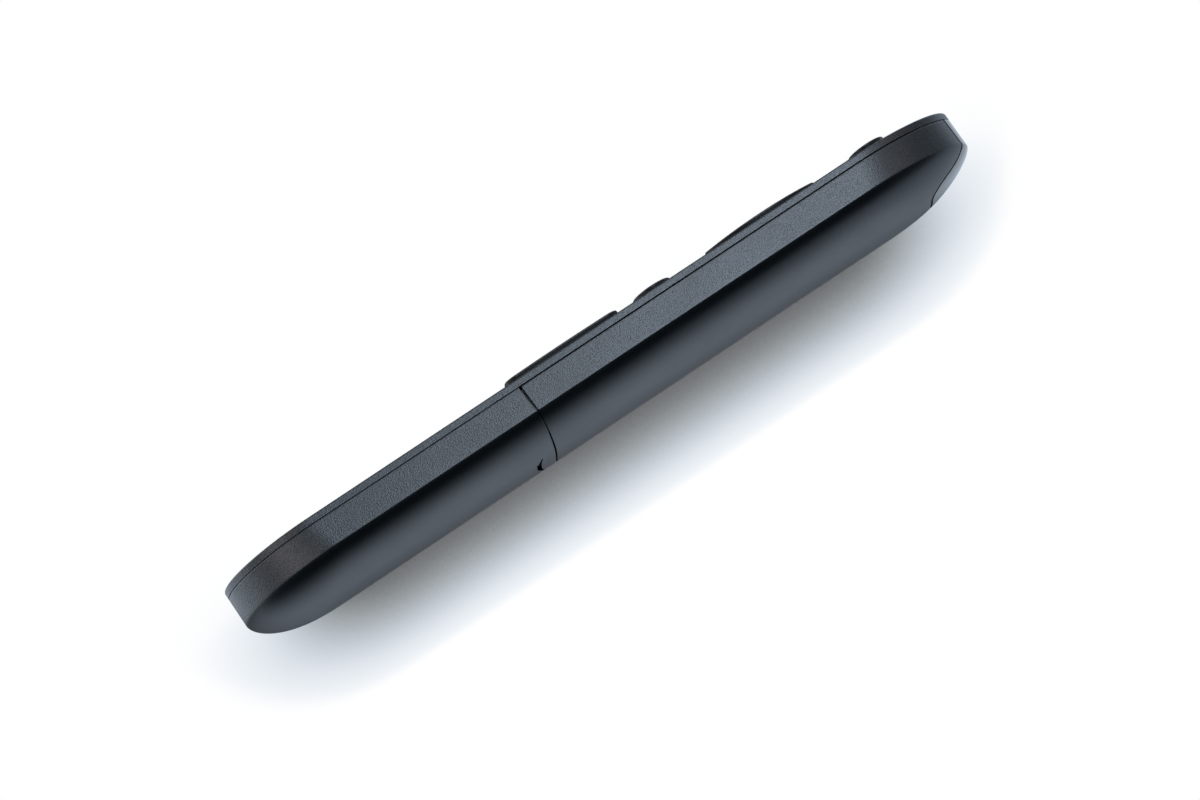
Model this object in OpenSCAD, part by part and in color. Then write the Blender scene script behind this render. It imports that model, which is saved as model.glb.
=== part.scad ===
// Slim hand-held remote control. A flat top cover with press keys sits on a flared housing whose
// underside is shaped like a boat hull. The tail half of the housing is a boot that slides off
// over two AAA cells. +Y is the infra-red end, +Z is the key side, +X is the right-hand side,
// and Z = 0 is the flat strip that the remote rests on.

/* [Housing] */
// Length from the tail to the nose
body_length = 180; // [178:1:190]
// Width of the key face
face_width = 42.8; // [42.4:0.2:45]
// How far the crease stands out past the key face on each side
flare = 2.1; // [1.2:0.1:3]
// Thickness of the top cover, seen as the rim
rim_height = 1.7; // [1.4:0.1:2]
// Height of the flared band under the rim
band_height = 6.5; // [6.3:0.1:7.5]
// Depth of the hull under the crease
hull_depth = 6.2; // [6.1:0.1:7]
// Width of the flat strip that the hull rests on
keel_width = 8.3; // [6:0.1:10]
// Wall thickness of the shells and of the window
wall = 1.3; // [1.1:0.05:1.35]
// Shadow line between the top cover and the shells below it
parting_gap = 0.15; // [0.1:0.05:0.25]
// Rounding of the top edge of the rim
rim_edge = 0.35; // [0.2:0.05:0.5]

/* [Ends of the housing] */
// Length of the rounding of the tail, seen from above
tail_round = 22.7; // [20:0.1:26]
// Length of the rounding of the nose, seen from above
nose_round = 25; // [22:0.1:28]
// Fullness of the tail rounding, where 2 is an ellipse
tail_fullness = 1.97; // [1.9:0.01:2.3]
// Fullness of the nose rounding, where 2 is an ellipse
nose_fullness = 1.85; // [1.8:0.01:2.2]
// Length of the rise of the hull towards the tail
tail_rise = 12.8; // [10:0.1:13.5]
// Length of the rise of the hull towards the nose
nose_rise = 14.8; // [12:0.1:18]
// Fullness of the hull in cross-section
side_fullness = 1.64; // [1.6:0.01:2]
// Fullness of the rise at the tail
tail_rise_fullness = 1.73; // [1.6:0.01:2]
// Fullness of the rise at the nose
nose_rise_fullness = 1.43; // [1.3:0.01:1.8]

/* [Battery boot] */
// Length of the boot, from the tail to its seam
boot_length = 72.6; // [71.6:0.1:76]
// Width of the seam between the boot and the rear shell
seam_gap = 0.3; // [0.2:0.05:0.4]
// Running clearance between the boot and what it slides over
boot_clearance = 0.3; // [0.2:0.05:0.35]
// Width of the latch slot
slot_width = 6; // [4:0.1:8]
// Length of the latch slot along the boot
slot_length = 1.1; // [0.8:0.1:1.6]
// Distance of the latch slot from the seam
slot_setback = 4.4; // [3.5:0.1:5]
// Length of the guide rails inside the boot
rail_length = 34; // [20:1:38]
// Height of the guide rails
rail_height = 1.1; // [0.8:0.1:1.6]
// How far the guide rails stand inwards
rail_depth = 1.8; // [1.6:0.1:2.2]

/* [Lip and case screws] */
// Length of the lip of the rear shell inside the boot
lip_length = 9; // [8.6:0.1:9.2]
// Thickness of the lip
lip_wall = 1.2; // [1:0.1:1.5]
// Depth over which the lip is rooted in the rear shell
lip_root = 2.5; // [2:0.1:3.5]
// Distance of the case screws from the middle
case_screw_offset = 10; // [9:0.1:11]
// Distance of the case screws from the seam
case_screw_setback = 6; // [5.8:0.1:6.2]
// Radius of the case screw head
case_head_r = 1.9; // [1.6:0.1:2]
// Radius of the case screw shank
case_shank_r = 1; // [0.8:0.05:1.1]
// Length of the case screw shank
case_shank_length = 6; // [4:0.1:7]
// Thickness of the screw heads
head_height = 1.1; // [0.9:0.1:1.2]
// Play round the heads and shanks
screw_play = 0.15; // [0.1:0.05:0.2]

/* [Battery bay] */
// Diameter of an AAA cell
cell_d = 10.5; // [10.3:0.1:10.5]
// Length of an AAA cell without its nub
cell_length = 43.5; // [43:0.1:43.6]
// Diameter of the nub
nub_d = 3.8; // [3.4:0.1:4]
// Height of the nub
nub_height = 1; // [0.8:0.1:1.1]
// Distance between the two cells, axis to axis
cell_pitch = 12; // [11.8:0.1:12.6]
// Play between a cell and its bed
cell_play = 0.2; // [0.1:0.05:0.25]
// Clearance between a cell and the top cover above it
cell_head_room = 0.3; // [0.2:0.05:0.35]
// Wall thickness of the tray
tray_wall = 1.2; // [1:0.1:1.3]
// Thickness of the tray's top plate
tray_plate = 1.5; // [1.2:0.1:1.8]
// Height of the tray's side walls below the parting line
tray_depth = 8.5; // [7:0.1:8.8]
// Clearance between the tray and the lip in front of it
tray_gap = 0.3; // [0.2:0.05:0.4]
// Length of a compressed contact spring
spring_length = 4.2; // [3.6:0.1:4.3]
// Turns of a contact spring
spring_turns = 3.5; // [2.5:0.5:3.5]
// Wire thickness of the contact springs
spring_wire = 0.5; // [0.4:0.05:0.6]
// Radius of a spring at its contact plate
spring_base_r = 3.4; // [3:0.1:3.8]
// Radius of a spring at the cell
spring_tip_r = 2.1; // [1.8:0.1:2.6]
// Thickness of the contact plates
contact_t = 0.4; // [0.3:0.05:0.5]
// Width of one contact plate
contact_width = 7.6; // [6:0.1:8]
// Height of the contact plates
contact_height = 6.4; // [5:0.1:7]

/* [Keypad] */
// Play round each key in its opening
key_play = 0.2; // [0.15:0.05:0.3]
// Travel of a press key
key_travel = 0.4; // [0.2:0.05:0.45]
// Width of the flange that keeps a key under the top cover
flange_width = 0.6; // [0.4:0.05:0.7]
// Thickness of the flange
flange_t = 0.8; // [0.6:0.05:1]
// Clearance between a flange and the top cover
flange_gap = 0.1; // [0.05:0.05:0.15]
// Thickness of the rubber mat
mat_t = 1; // [0.8:0.1:1.2]
// Height of the rubber domes on the mat
dome_height = 0.7; // [0.5:0.1:0.8]
// Radius of the rubber domes
dome_r = 3; // [2.4:0.1:3.4]
// Air gap between a key and its rubber dome at full travel
dome_gap = 0.1; // [0.05:0.05:0.2]
// Thickness of the circuit board
board_t = 1.2; // [0.8:0.1:1.6]
// Inset of the circuit board from the side of the key face
board_inset = 2.9; // [2.7:0.1:3.2]

/* [Key layout] */
// Distance of the power row from the nose
power_row_from_nose = 20.1; // [18:0.1:20.4]
// Distance of the direction keys from the nose
pad_from_nose = 46.8; // [46.4:0.1:47.2]
// Distance of the home row from the nose
home_row_from_nose = 73.4; // [72.9:0.1:73.6]
// Distance of the rockers from the nose
rocker_from_nose = 95.7; // [95.2:0.1:96]
// Distance of the outer columns from the middle
column_x = 12.6; // [12.4:0.1:12.8]
// Distance of the mute and play keys from the middle of the rockers
inner_key_pitch = 7.2; // [7.1:0.05:7.4]

/* [Keys] */
// Radius of the power and source keys
power_r = 4.3; // [3.6:0.1:4.4]
// Height of the power and source keys above the face
power_height = 1.65; // [1:0.05:1.8]
// Radius of the small round keys
small_r = 4.55; // [3.8:0.05:4.6]
// Height of the small round keys above the face
small_height = 1.7; // [1:0.05:1.8]
// Crown of the round keys
key_crown = 0.18; // [0.05:0.01:0.3]
// Rounding of the key edges
key_edge = 0.35; // [0.1:0.05:0.5]
// Reach of the direction keys from the middle of the OK key
pad_outer_r = 18.6; // [18:0.1:18.7]
// Radius of the bowed outer side of a direction key
pad_side_r = 25; // [20:0.5:28]
// Inner radius of the direction keys
pad_inner_r = 8.6; // [8.5:0.1:9.4]
// Height of the direction keys above the face
pad_height = 1.35; // [0.9:0.05:1.6]
// Width of the spokes between the direction keys
spoke_width = 1.2; // [1.1:0.1:2]
// Radius of the OK key
ok_r = 7.2; // [6:0.1:7.3]
// Height of the OK key above the face
ok_height = 1.2; // [0.8:0.05:1.6]
// Length of a rocker
rocker_length = 27.6; // [24:0.1:27.8]
// Width of a rocker
rocker_width = 9.6; // [8.6:0.1:9.8]
// Corner radius of a rocker
rocker_corner = 2.6; // [1.5:0.1:4]
// Height of a rocker above the face at its ends
rocker_height = 1.6; // [1.2:0.05:1.8]
// Rise of a rocker from its ends to its middle
rocker_crown = 0.15; // [0.1:0.05:0.4]
// Length of the flange at the middle of a rocker
rocker_flange = 8; // [5:0.1:9]
// Play round a rocker in its opening
rocker_play = 0.3; // [0.25:0.05:0.35]
// Radius of the ridge that a rocker tilts on
pivot_r = 0.8; // [0.6:0.05:0.85]
// Running clearance under the ridge
pivot_gap = 0.1; // [0.05:0.05:0.15]

/* [Window and electronics] */
// Width of the infra-red window
window_width = 15.6; // [13:0.1:17]
// Distance of the window's lower end from the nose
window_run = 13; // [11:0.1:14]
// Corner radius of the window's lower end
window_corner = 4.5; // [2:0.1:6]
// Seam round the window
window_seam = 0.15; // [0.1:0.05:0.2]
// Width of the window's inner flange
window_flange = 1.8; // [1.2:0.1:2]
// Radius of an infra-red diode
led_r = 2.5; // [1.5:0.1:2.6]
// Length of an infra-red diode
led_length = 7.5; // [5:0.1:8]
// Distance between the diodes
led_pitch = 7.2; // [6.4:0.1:7.4]
// Distance of the diode tips from the nose
led_from_nose = 4; // [3.8:0.1:5]
// Width of the controller chip
chip_width = 7.5; // [5:0.1:9]
// Length of the controller chip
chip_length = 12.8; // [9:0.1:16]
// Thickness of the controller chip
chip_t = 2.3; // [1.4:0.1:2.6]
// Radius of the storage capacitor
capacitor_r = 2.5; // [2:0.1:2.8]
// Length of the storage capacitor
capacitor_length = 9; // [6:0.1:11]
// Radius of the posts that carry the circuit board
post_r = 1.6; // [1.4:0.05:1.65]
// Radius of the board screw head
board_head_r = 1.7; // [1.5:0.1:2]
// Radius of the board screw shank
board_shank_r = 0.8; // [0.6:0.05:0.9]
// Length of the board screw shank
board_shank_length = 3.4; // [2.6:0.1:3.8]

/* [Hidden] */
$fn = 48;
// Steps of each quarter of the plan outline, and rings of the hull between keel and crease
corner_steps = 12;
hull_steps = 9;
// How far a cut runs past the faces that it opens
over = 1;
// Heights of the crease, the parting line and the key face
crease_z = hull_depth;
parting_z = crease_z + band_height;
face_z = parting_z + rim_height;
// Ends, seam and half widths
nose_y = body_length / 2;
tail_y = -body_length / 2;
seam_y = tail_y + boot_length;
face_half = face_width / 2;
crease_half = face_half + flare;
keel_half = keel_width / 2;
// Stack of key, mat and board under the top cover
flange_top_z = parting_z - flange_gap;
flange_low_z = flange_top_z - flange_t;
dome_top_z = flange_low_z - key_travel - dome_gap;
mat_top_z = dome_top_z - dome_height;
board_top_z = mat_top_z - mat_t;
board_low_z = board_top_z - board_t;
// Rows and columns of the keypad
power_y = nose_y - power_row_from_nose;
pad_y = nose_y - pad_from_nose;
home_y = nose_y - home_row_from_nose;
rocker_y = nose_y - rocker_from_nose;
mute_y = rocker_y + inner_key_pitch;
play_y = rocker_y - inner_key_pitch;
small_keys = [[-column_x, home_y], [0, home_y], [column_x, home_y], [0, mute_y], [0, play_y]];
power_keys = [[column_x, power_y], [-column_x, power_y]];
// Width of the ridge that a rocker tilts on, and the top of the rib under it
pivot_width = 6;
rib_top_z = flange_low_z - pivot_r - pivot_gap;
// Rise of a rocker from its long sides to its middle
rocker_cross_crown = 0.1;
// Spacing of a rocker's two rubber domes, and radius of the direction keys' domes
rocker_dome_reach = 9;
pad_dome_reach = 13.4;
// Rubber domes under all the keys
dome_places = concat(small_keys, power_keys, [[0, pad_y]],
    [for (a = [0:90:270]) [pad_dome_reach * cos(a), pad_y + pad_dome_reach * sin(a)]],
    [for (x = [-column_x, column_x], dy = [-rocker_dome_reach, rocker_dome_reach])
        [x, rocker_y + dy]]);
// Contact pills inside the domes
pill_t = 0.4;
pill_r = 1.5;
pill_hollow_r = 2.2;
dome_roof = 0.6;
// Posts that carry the board, beside and between the keys
post_x = 16.6;
post_reach = 17.3;
post_places = [[-post_x, pad_y + post_reach], [post_x, pad_y + post_reach],
    [-post_x, pad_y - post_reach], [post_x, pad_y - post_reach], [0, rocker_y]];
// Clip tabs of the top cover inside the rear shell
clip_length = 6;
clip_t = 1;
clip_depth = 3.6;
clip_play = 0.2;
clip_inset = wall + clip_play;
clip_ys = [pad_y + post_reach, pad_y - post_reach, rocker_y + 10, rocker_y - 3];
// Battery bay
bay_front_y = seam_y - lip_length - tray_gap - tray_wall;
bay_length = 2 * contact_t + spring_length + cell_length + nub_height;
bay_tail_y = bay_front_y - bay_length;
cell_r = cell_d / 2;
cell_x = cell_pitch / 2;
cell_z = parting_z - cell_head_room - cell_r;
bed_r = cell_r + cell_play;
tray_low_z = parting_z - tray_depth;
tray_half = cell_x + bed_r + tray_wall;
// Tabs of the front contacts, which lie on the tail edge of the board
tab_x = 4;
tab_width = 2;
tab_rest = 1.6;
// Play of the tray round the contacts that sit in it
seat_play = 0.2;
// Pitch of the leads of the chip, and half the pitch of a diode's legs
lead_pitch = 1.27;
// Diodes in front of the board, whose legs lie under its edge
leg = 0.5;
leg_length = 3;
led_collar = 0.4;
led_collar_t = 1;
board_to_led = 0.5;
led_base_y = nose_y - led_from_nose - led_length;
led_z = board_low_z - leg / 2;
// The board and the mat end just behind the rockers
board_margin = 1.3;
mat_margin = 0.3;
mat_nose_margin = 1;
board_tail_y = rocker_y - rocker_length / 2 - board_margin;
mat_tail_y = board_tail_y + tab_rest + mat_margin;
board_nose_y = led_base_y - board_to_led;
mat_inset = board_inset + mat_margin;
post_play = 0.2;
// Case screws, whose heads are sunk in the lip, and the play of a shank in its pilot hole
case_screw_y = seam_y - case_screw_setback;
pad_wall = 1.1;
pad_floor = 1.5;
head_sink = 0.5;
pilot_play = 0.05;
pad_r = case_head_r + screw_play + pad_wall;
case_head_z = wall + boot_clearance + head_sink;
pad_top_z = case_head_z + head_height + pad_floor;
case_boss_r = 2.3;
// Snap bump under the latch slot: its setback from the slot's ends and sides, and its sink
bump_end = 0.5;
bump_side = 0.2;
bump_sink = 0.1;
// Inner flange of the window
window_flange_gap = 0.1;
window_flange_t = 0.8;
// Size of the resonator under the board
resonator_size = [3.8, 7, 3];

// Quarter of a rounded outline: [across, along] shares that run from the tip to the side
function quarter(fullness) = [for (i = [0:corner_steps]) let (a = 90 * i / corner_steps)
    [pow(sin(a), 2 / fullness), 1 - pow(cos(a), 2 / fullness)]];

// Share of the way from the crease to the keel at depth q, where 0 is the crease and 1 the keel
function tuck(q, fullness) = 1 - pow(1 - pow(q, fullness), 1 / fullness);

// Plan section of the housing: [half width, tail end, nose end, tail rounding, nose rounding, z]
function band_ring(z, inset) = let (out = flare * (parting_z - z) / band_height)
    [face_half + out - inset, tail_y + inset, nose_y - inset, tail_round + out - inset,
        nose_round + out - inset, z];
function hull_ring(q, inset) =
    let (full = crease_half - inset, half = full - (full - keel_half) * tuck(q, side_fullness))
    [half, tail_y + inset + tail_rise * tuck(q, tail_rise_fullness),
        nose_y - inset - nose_rise * tuck(q, nose_rise_fullness),
        (tail_round + flare - inset) * half / full, (nose_round + flare - inset) * half / full,
        inset + (hull_depth - inset) * (1 - q)];
function rings(inset, top) = concat(
    [for (i = [0:hull_steps]) hull_ring(cos(90 * i / hull_steps), inset)], [band_ring(top, inset)]);

// Outlines of one plan section: its tail part, its nose part and the whole of it
function tail_part(r, cut) = let (c = quarter(tail_fullness), n = corner_steps) concat(
    [[-r[0], cut]], [for (i = [n:-1:0]) [-r[0] * c[i][0], r[1] + r[3] * c[i][1]]],
    [for (i = [1:n]) [r[0] * c[i][0], r[1] + r[3] * c[i][1]]], [[r[0], cut]]);
function nose_part(r, cut) = let (c = quarter(nose_fullness), n = corner_steps) concat(
    [[r[0], cut]], [for (i = [n:-1:0]) [r[0] * c[i][0], r[2] - r[4] * c[i][1]]],
    [for (i = [1:n]) [-r[0] * c[i][0], r[2] - r[4] * c[i][1]]], [[-r[0], cut]]);
function whole_plan(r) = let (t = quarter(tail_fullness), c = quarter(nose_fullness),
    n = corner_steps) concat([for (i = [n:-1:0]) [-r[0] * t[i][0], r[1] + r[3] * t[i][1]]],
    [for (i = [1:n]) [r[0] * t[i][0], r[1] + r[3] * t[i][1]]],
    [for (i = [n:-1:0]) [r[0] * c[i][0], r[2] - r[4] * c[i][1]]],
    [for (i = [1:n]) [-r[0] * c[i][0], r[2] - r[4] * c[i][1]]]);

// Cross-section of the housing, a little inside its outer skin
function cross_section(inset, top) = let (side = [for (r = rings(inset, top)) [r[0], r[5]]],
    n = len(side)) concat(side, [for (i = [n - 1:-1:0]) [-side[i][0], side[i][1]]]);

// Solid through a stack of outlines with the same number of points, from low to high
module loft(outlines, heights) {
    n = len(outlines[0]);
    top = len(outlines) - 1;
    polyhedron(
        points = [for (k = [0:top]) for (p = outlines[k]) [p[0], p[1], heights[k]]],
        faces = concat([[for (i = [0:n - 1]) i]], [[for (i = [n - 1:-1:0]) top * n + i]],
            [for (k = [0:top - 1]) for (i = [0:n - 1]) let (j = (i + 1) % n)
                [k * n + i, (k + 1) * n + i, (k + 1) * n + j]],
            [for (k = [0:top - 1]) for (i = [0:n - 1]) let (j = (i + 1) % n)
                [k * n + i, (k + 1) * n + j, k * n + j]]));
}

// Everything inside the skin at this inset, behind the seam or in front of it
module tail_form(inset, top, cut) {
    stack = rings(inset, top);
    loft([for (r = stack) tail_part(r, cut)], [for (r = stack) r[5]]);
}
module nose_form(inset, top, cut) {
    stack = rings(inset, top);
    loft([for (r = stack) nose_part(r, cut)], [for (r = stack) r[5]]);
}

// Straight length of the housing's cross-section, between two stations
module straight_form(inset, top, from_y, to_y) {
    translate([0, to_y, 0])
        rotate([90, 0, 0])
            linear_extrude(to_y - from_y)
                polygon(cross_section(inset, top));
}

// Flat sheet with the housing's plan outline, between two stations
module plan_sheet(inset, low, high, from_y, to_y) {
    translate([0, 0, low])
        linear_extrude(high - low)
            intersection() {
                polygon(whole_plan(band_ring(parting_z, inset)));
                translate([-face_width, from_y])
                    square([2 * face_width, to_y - from_y]);
            }
}

module rounded_rectangle(width, length, corner) {
    square([width - 2 * corner, length], center = true);
    square([width, length - 2 * corner], center = true);
    for (sx = [-1, 1], sy = [-1, 1])
        translate([sx * (width / 2 - corner), sy * (length / 2 - corner)])
            circle(corner);
}

// Outline of the direction key on the +X side, grown by a margin: bowed outside, round inside
module key_quarter(margin, half_gap) {
    intersection() {
        difference() {
            translate([pad_outer_r - pad_side_r, 0])
                circle(pad_side_r + margin, $fn = 128);
            circle(pad_inner_r - margin, $fn = 64);
        }
        rotate(-45)
            translate([half_gap, half_gap])
                square(2 * pad_outer_r);
    }
}

// Round key with a crowned top and a flange under the top cover
module round_key(radius, height) {
    edge_z = face_z + height - key_crown;
    // The crown is one arc from the middle to where the edge rounding starts
    flat_r = radius - key_edge;
    crown_r = (flat_r * flat_r + key_crown * key_crown) / (2 * key_crown);
    rotate_extrude()
        polygon(concat([[0, flange_low_z], [radius + flange_width, flange_low_z],
            [radius + flange_width, flange_top_z], [radius, flange_top_z]],
            [for (a = [0:15:90])
                [flat_r + key_edge * cos(a), edge_z - key_edge + key_edge * sin(a)]],
            [for (s = [0.75, 0.5, 0.25, 0]) let (x = flat_r * s)
                [x, edge_z + key_crown - crown_r + sqrt(crown_r * crown_r - x * x)]]));
}

module direction_key(turn) {
    clear_gap = spoke_width / 2 + key_play;
    top = face_z + pad_height;
    translate([0, pad_y, 0])
        rotate(turn) {
            intersection() {
                // Rounded along its bowed outer side and along its inner side
                translate([pad_outer_r - pad_side_r, 0, 0])
                    rotate_extrude($fn = 128)
                        polygon(concat([[0, flange_low_z], [pad_side_r, flange_low_z]],
                            [for (a = [0:30:90]) [pad_side_r - key_edge + key_edge * cos(a),
                                top - key_edge + key_edge * sin(a)]], [[0, top]]));
                rotate_extrude($fn = 96)
                    polygon(concat([[2 * pad_outer_r, flange_low_z], [2 * pad_outer_r, top]],
                        [for (a = [90:30:180]) [pad_inner_r + key_edge + key_edge * cos(a),
                            top - key_edge + key_edge * sin(a)]], [[pad_inner_r, flange_low_z]]));
                translate([0, 0, flange_low_z])
                    linear_extrude(top - flange_low_z)
                        key_quarter(0, clear_gap);
            }
            translate([0, 0, flange_low_z])
                linear_extrude(flange_t)
                    key_quarter(flange_width, clear_gap - flange_width);
        }
}

// Rocker: a crowned bar that pivots on the flange at its middle
module rocker(x) {
    // Radii of the crown along and across the bar
    along_r = (rocker_length * rocker_length / 4 + rocker_crown * rocker_crown) / (2 * rocker_crown);
    rise = rocker_cross_crown;
    across_r = (rocker_width * rocker_width / 4 + rise * rise) / (2 * rise);
    crown_z = face_z + rocker_height + rocker_crown;
    translate([x, rocker_y, 0]) {
        intersection() {
            translate([0, 0, flange_low_z])
                linear_extrude(crown_z - flange_low_z)
                    rounded_rectangle(rocker_width, rocker_length, rocker_corner);
            translate([0, 0, crown_z - along_r])
                rotate([0, 90, 0])
                    cylinder(h = rocker_width + over, r = along_r, center = true, $fn = 360);
            translate([0, 0, crown_z - across_r])
                rotate([90, 0, 0])
                    cylinder(h = rocker_length + over, r = across_r, center = true, $fn = 180);
        }
        translate([-rocker_width / 2 - flange_width, -rocker_flange / 2, flange_low_z])
            cube([rocker_width + 2 * flange_width, rocker_flange, flange_t - flange_gap]);
        // Ridge that it tilts on, above a rib of the mat
        translate([0, 0, flange_low_z])
            rotate([0, 90, 0])
                cylinder(h = pivot_width, r = pivot_r, center = true);
    }
}

// Screw with its head down and its tip up
module screw(head_r, shank_r, shank_length) {
    cylinder(h = head_height, r = head_r);
    translate([0, 0, head_height])
        cylinder(h = shank_length, r = shank_r);
}

module top_cover() color("#3a3d42") {
    // Plan sections of the rim, from the parting line over its rounded upper edge
    rim_rings = concat([band_ring(parting_z, 0)], [for (a = [0:30:90])
        band_ring(face_z - rim_edge * (1 - sin(a)), rim_edge * (1 - cos(a)))]);
    difference() {
        union() {
            // Plate whose rim carries on the slope of the band, with a rounded upper edge
            loft([for (r = rim_rings) whole_plan(r)], [for (r = rim_rings) r[5]]);
            // Posts for the circuit board
            for (p = post_places)
                translate([p[0], p[1], board_top_z])
                    cylinder(h = parting_z + rim_height / 2 - board_top_z, r = post_r);
            // Bosses for the case screws
            for (s = [-1, 1])
                translate([s * case_screw_offset, case_screw_y, pad_top_z])
                    cylinder(h = parting_z + rim_height / 2 - pad_top_z, r = case_boss_r);
            // Clip tabs that hold the rear shell
            for (y = clip_ys, s = [-1, 1])
                translate([s * (face_half - clip_inset - clip_t / 2), y,
                        parting_z - clip_depth / 2 + rim_height / 4])
                    cube([clip_t, clip_length, clip_depth + rim_height / 2], center = true);
        }
        // Holes in the posts and the bosses
        for (p = post_places)
            translate([p[0], p[1], board_top_z - over])
                cylinder(h = board_shank_length - board_t + 2 * over, r = board_shank_r + pilot_play);
        for (s = [-1, 1])
            translate([s * case_screw_offset, case_screw_y, pad_top_z - over])
                cylinder(h = case_shank_length + over, r = case_shank_r + pilot_play);
        // Openings of the keys
        translate([0, 0, parting_z - over])
            linear_extrude(rim_height + 2 * over) {
                for (p = power_keys)
                    translate(p)
                        circle(power_r + key_play);
                for (p = small_keys)
                    translate(p)
                        circle(small_r + key_play);
                for (x = [-column_x, column_x])
                    translate([x, rocker_y])
                        rounded_rectangle(rocker_width + 2 * rocker_play,
                            rocker_length + 2 * rocker_play, rocker_corner + rocker_play);
                translate([0, pad_y]) {
                    circle(ok_r + key_play);
                    for (a = [0:90:270])
                        rotate(a)
                            key_quarter(key_play, spoke_width / 2);
                }
            }
    }
}

// Outline of the infra-red window, seen from below, grown by a margin
module window_outline(margin) {
    low_y = nose_y - window_run - margin;
    width = window_width + 2 * margin;
    translate([0, low_y + window_run])
        rounded_rectangle(width, 2 * window_run, window_corner);
}

module rear_shell() color("#34373c") {
    top = parting_z - parting_gap;
    lip_inset = wall + boot_clearance;
    difference() {
        union() {
            difference() {
                nose_form(0, top, seam_y);
                nose_form(wall, parting_z + over, seam_y - over);
            }
            // Lip that the boot slides over, and its root
            difference() {
                union() {
                    straight_form(lip_inset, top, seam_y - lip_length, seam_y + lip_root);
                    straight_form(wall / 2, top, seam_y, seam_y + lip_root);
                    // Snap bump under the latch slot
                    translate([-slot_width / 2 + bump_end,
                            seam_y - slot_setback - slot_length / 2 + bump_side, wall + bump_sink])
                        cube([slot_width - 2 * bump_end, slot_length - 2 * bump_side, boot_clearance]);
                }
                straight_form(lip_inset + lip_wall, parting_z + over, seam_y - lip_length - over,
                    seam_y + lip_root + over);
            }
            // Pads that the case screws pull on
            intersection() {
                for (s = [-1, 1])
                    translate([s * case_screw_offset, case_screw_y, 0])
                        cylinder(h = pad_top_z, r = pad_r);
                straight_form(lip_inset, top, seam_y - lip_length, seam_y + lip_root);
            }
        }
        for (s = [-1, 1])
            translate([s * case_screw_offset, case_screw_y, 0]) {
                cylinder(h = case_head_z + head_height, r = case_head_r + screw_play);
                cylinder(h = pad_top_z + over, r = case_shank_r + screw_play);
            }
        // Opening for the window
        translate([0, 0, -over])
            linear_extrude(parting_z + 2 * over)
                window_outline(window_seam);
    }
}

module battery_boot() color("#34373c") {
    mouth_y = seam_y - seam_gap;
    top = parting_z - parting_gap;
    rail_z = parting_z - tray_plate - boot_clearance - rail_height;
    rail_x = face_half - wall - rail_depth;
    difference() {
        union() {
            difference() {
                tail_form(0, top, mouth_y);
                tail_form(wall, parting_z + over, mouth_y + over);
            }
            // Guide rails that hook under the edge of the tray
            intersection() {
                for (s = [0, 1])
                    mirror([s, 0, 0])
                        translate([rail_x, bay_front_y - rail_length, rail_z])
                            cube([crease_half, rail_length, rail_height]);
                straight_form(wall / 2, top, bay_front_y - rail_length, bay_front_y);
            }
        }
        // Latch slot
        translate([0, seam_y - slot_setback, wall / 2])
            cube([slot_width, slot_length, wall + 2 * over], center = true);
    }
}

module battery_tray() color("#24262a") {
    skin = wall + boot_clearance;
    front_y = bay_front_y + tray_wall;
    difference() {
        union() {
            plan_sheet(skin, parting_z - tray_plate, parting_z, bay_tail_y - tray_wall, front_y);
            translate([-tray_half, bay_tail_y - tray_wall, tray_low_z])
                cube([2 * tray_half, bay_length + 2 * tray_wall, tray_depth]);
        }
        // Beds of the two cells, open downwards
        for (s = [-1, 1])
            translate([s * cell_x, bay_front_y, cell_z]) {
                rotate([90, 0, 0])
                    cylinder(h = bay_length, r = bed_r);
                translate([-bed_r, -bay_length, tray_low_z - cell_z - over])
                    cube([2 * bed_r, bay_length, cell_z - tray_low_z + over]);
            }
        // Seat of the contact that joins both cells at the tail
        translate([0, bay_tail_y + contact_t / 2, cell_z])
            cube([2 * cell_x + contact_width + 2 * seat_play, contact_t,
                contact_height + 2 * seat_play], center = true);
        // Passages of the front contacts' tabs
        for (s = [-1, 1])
            translate([s * tab_x - tab_width / 2 - seat_play, bay_front_y - over,
                    board_top_z - seat_play])
                cube([tab_width + 2 * seat_play, tray_wall + 2 * over, contact_t + 2 * seat_play]);
    }
}

module ir_window() color("#15151a") {
    top = parting_z - parting_gap;
    flange_inset = wall + window_flange_gap;
    flange_end = flange_inset + window_flange_t;
    difference() {
        union() {
            intersection() {
                nose_form(0, top, pad_y);
                linear_extrude(parting_z)
                    window_outline(0);
            }
            intersection() {
                nose_form(flange_inset, top, pad_y);
                linear_extrude(parting_z)
                    window_outline(window_flange);
            }
        }
        nose_form(flange_end, parting_z + over, pad_y - over);
    }
}

module circuit_board() color("#1f5a3a") {
    difference() {
        plan_sheet(board_inset, board_low_z, board_top_z, board_tail_y, board_nose_y);
        for (p = post_places)
            translate([p[0], p[1], board_low_z - over])
                cylinder(h = board_t + 2 * over, r = board_shank_r + screw_play);
    }
}

module keypad_mat() color("#5a5d60") {
    difference() {
        union() {
            plan_sheet(mat_inset, board_top_z, mat_top_z, mat_tail_y, board_nose_y - mat_nose_margin);
            for (p = dome_places)
                translate([p[0], p[1], board_top_z])
                    cylinder(h = dome_top_z - board_top_z, r = dome_r);
            // Ribs under the ridges of the rockers
            for (x = [-column_x, column_x])
                translate([x - pivot_width / 2, rocker_y - pivot_r, board_top_z])
                    cube([pivot_width, 2 * pivot_r, rib_top_z - board_top_z]);
        }
        for (p = dome_places)
            translate([p[0], p[1], board_top_z - over])
                cylinder(h = dome_top_z - board_top_z - dome_roof + over, r = pill_hollow_r);
        for (p = post_places)
            translate([p[0], p[1], board_top_z - over])
                cylinder(h = mat_t + 2 * over, r = post_r + post_play);
    }
}

module contact_pills() color("#101010") {
    for (p = dome_places)
        translate([p[0], p[1], dome_top_z - dome_roof - pill_t])
            cylinder(h = pill_t, r = pill_r);
}

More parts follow.
